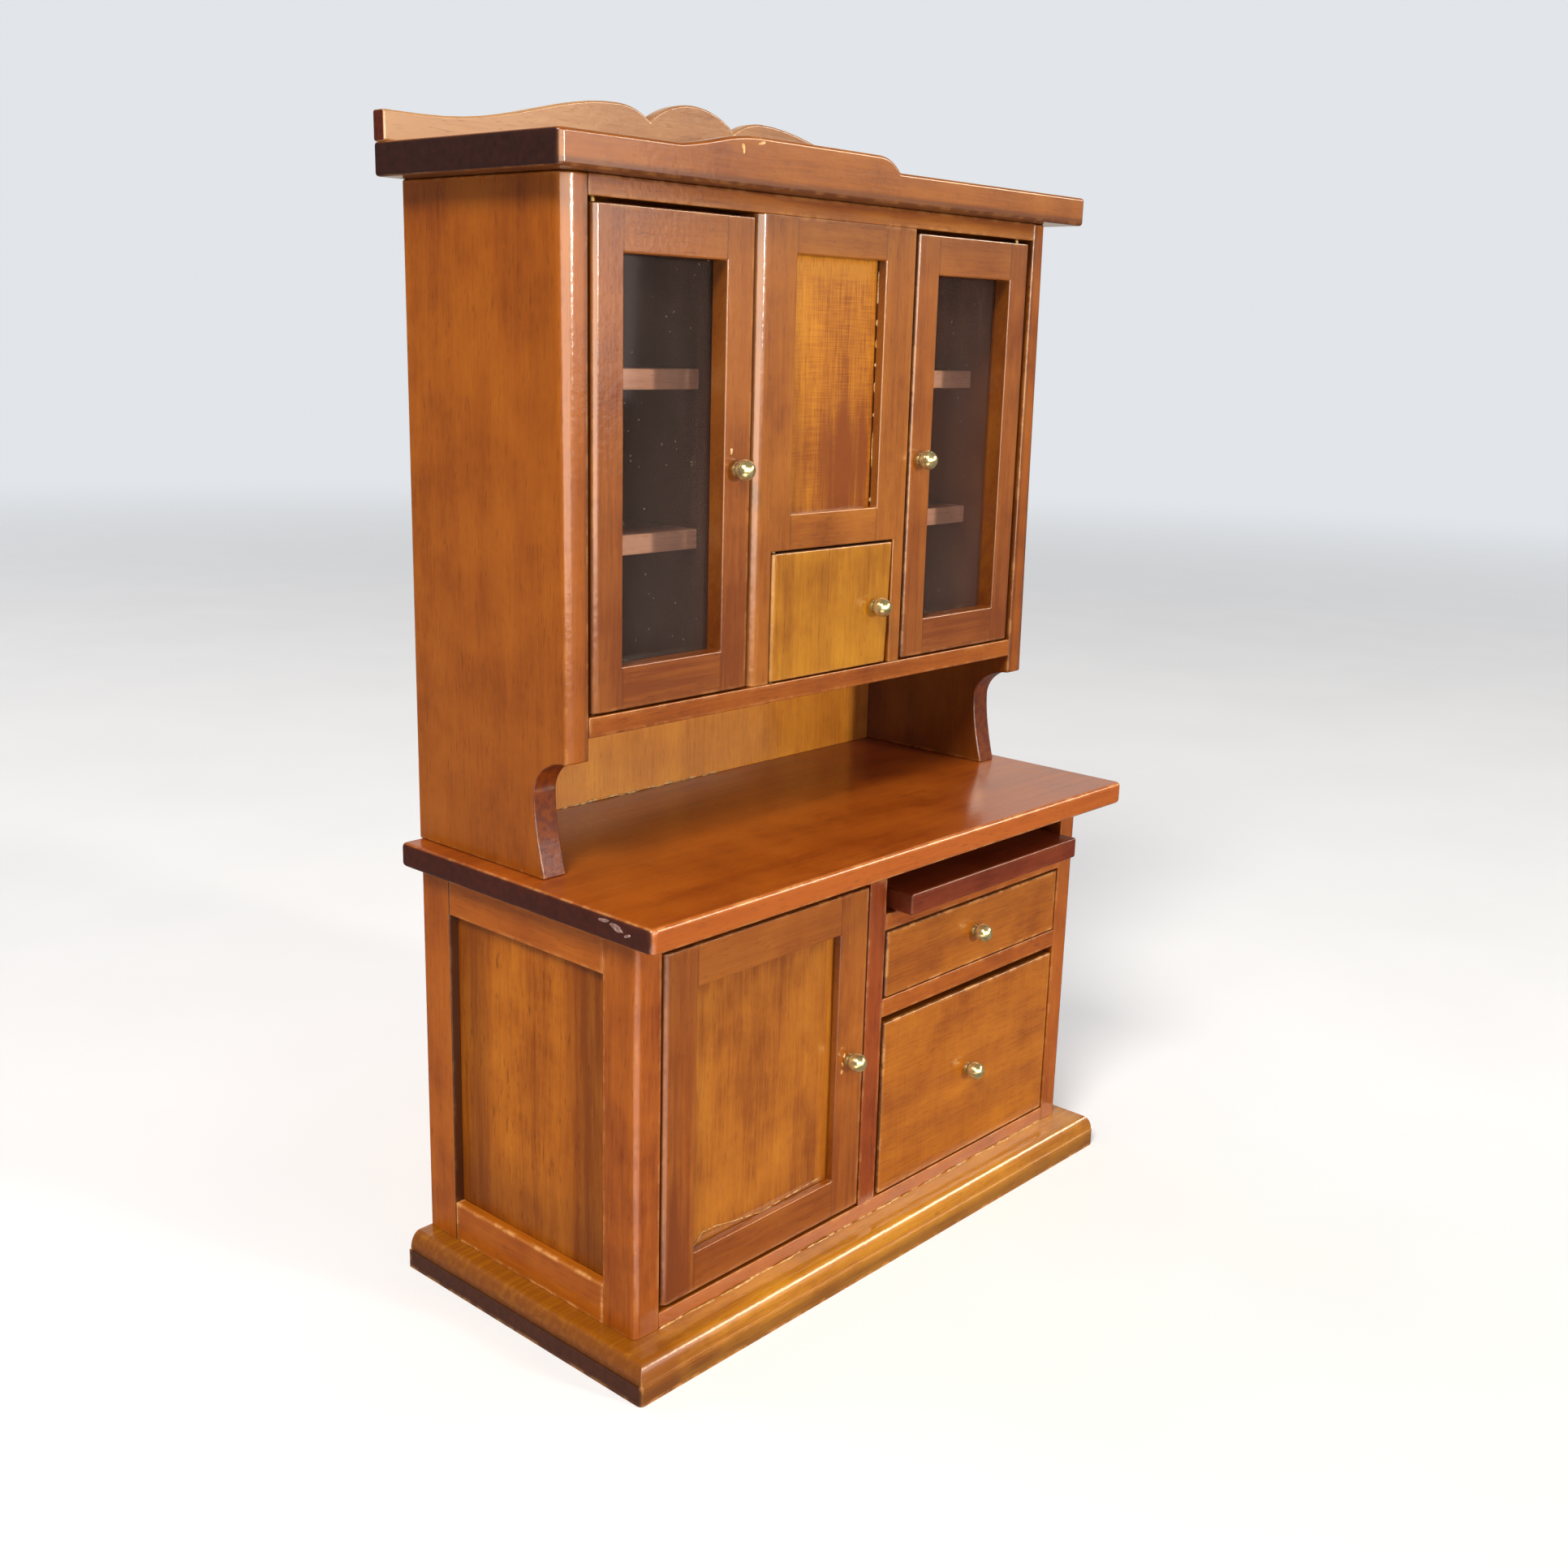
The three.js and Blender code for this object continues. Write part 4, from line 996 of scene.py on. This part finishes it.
def add_light(name, azimuth, elevation, distance, width, height, power, colour, seen_by="both"):
    """A soft panel round the middle of the object.

    azimuth turns from the front (-Y) towards the left (-X), in degrees. seen_by "surfaces" lights
    surfaces but is not mirrored, and "gloss" is only mirrored in lacquer, glass and brass.
    """
    shape = "RECTANGLE" if seen_by == "gloss" else "ELLIPSE"
    lamp = area_lamp(name, shape, width, height, power, colour)
    lamp.visible_glossy = seen_by != "surfaces"
    lamp.visible_diffuse = seen_by != "gloss"
    turn, lift = math.radians(azimuth), math.radians(elevation)
    direction = Vector((-math.sin(turn) * math.cos(lift), -math.cos(turn) * math.cos(lift), math.sin(lift)))
    middle = Vector(LIGHTS_AIM_AT)
    aim(lamp, middle + direction * distance, middle)


def add_floor_glow(name, place, width, depth, power, colour):
    """A bright patch of floor that only lacquer mirrors, for the lower rounded arrises."""
    lamp = area_lamp(name, "RECTANGLE", width, depth, power, colour)
    lamp.visible_diffuse = False
    aim(lamp, place, Vector(place) + Vector(UPWARD))


def add_main_lights():
    add_light("upper_left_light", azimuth=66.0, elevation=42.0, distance=0.9,
              width=0.30, height=0.30, power=7.2, colour=srgb(255, 250, 242))
    add_light("front_light", azimuth=-14.0, elevation=9.0, distance=1.0,
              width=0.12, height=0.12, power=5.6, colour=srgb(255, 248, 232))


def add_gloss_panels():
    add_light("gloss_panel", azimuth=24.0, elevation=11.0, distance=0.62,
              width=0.64, height=0.40, power=6.8, colour=srgb(255, 242, 222), seen_by="gloss")
    add_light("gloss_strip", azimuth=-31.0, elevation=13.0, distance=0.62,
              width=0.20, height=0.24, power=0.45, colour=srgb(255, 240, 238), seen_by="gloss")
    add_light("gloss_window", azimuth=-50.0, elevation=23.0, distance=0.8,
              width=0.36, height=0.14, power=4.4, colour=srgb(255, 240, 216), seen_by="gloss")
    add_light("gloss_wall", azimuth=-132.0, elevation=16.0, distance=1.0,
              width=1.2, height=0.8, power=2.2, colour=srgb(255, 238, 220), seen_by="gloss")
    add_floor_glow("floor_glow", place=(-0.115, -0.110, 0.001), width=0.13, depth=0.15,
                   power=0.18, colour=srgb(255, 246, 236))


def add_fills():
    sky = srgb(250, 250, 255)
    add_light("right_fill", azimuth=-75.0, elevation=35.0, distance=1.1,
              width=0.8, height=0.8, power=1.4, colour=sky, seen_by="surfaces")
    add_light("back_fill", azimuth=165.0, elevation=35.0, distance=1.1,
              width=0.8, height=0.8, power=3.0, colour=sky, seen_by="surfaces")
    add_light("top_fill", azimuth=20.0, elevation=85.0, distance=1.1,
              width=0.9, height=0.9, power=2.4, colour=sky, seen_by="surfaces")


def add_world():
    """Pale surroundings for the camera, and a faint even light for everything else."""
    world = bpy.data.worlds.new("studio")
    bpy.context.scene.world = world
    world.use_nodes = True
    tree = world.node_tree
    tree.nodes.clear()
    graph = Graph(tree)
    seen = graph.add("ShaderNodeBackground")
    seen.inputs["Color"].default_value = srgb(226, 229, 233)
    seen.inputs["Strength"].default_value = 1.0
    lighting = graph.add("ShaderNodeBackground")
    lighting.inputs["Color"].default_value = (1.0, 0.985, 0.965, 1.0)
    lighting.inputs["Strength"].default_value = WORLD_LIGHT
    ray = graph.add("ShaderNodeLightPath")
    both = graph.mix_shaders(ray.outputs["Is Camera Ray"], lighting.outputs[0], seen.outputs[0])
    output = graph.add("ShaderNodeOutputWorld")
    graph.feed(both, output.inputs[0])


def add_camera():
    """The camera at the photo's angle."""
    data = bpy.data.cameras.new("camera")
    data.lens = CAMERA_LENS
    data.sensor_width = CAMERA_SENSOR
    data.clip_start = CAMERA_NEAREST
    camera = bpy.data.objects.new("camera", data)
    bpy.context.scene.collection.objects.link(camera)
    right, down, forward = (Vector(v) for v in (CAMERA_RIGHT, CAMERA_DOWN, CAMERA_FORWARD))
    turned = Matrix((right, -down, -forward)).transposed().to_4x4()
    camera.matrix_world = Matrix.Translation(CAMERA_PLACE) @ turned
    bpy.context.scene.camera = camera


dress_lower_cabinet()
dress_lower_door()
dress_drawers()
dress_upper_cabinet()
dress_upper_front()
dress_brass()
add_small_traces()

add_floor()
add_world()
add_main_lights()
add_gloss_panels()
add_fills()
add_camera()
bpy.context.scene.view_settings.view_transform = "Standard"
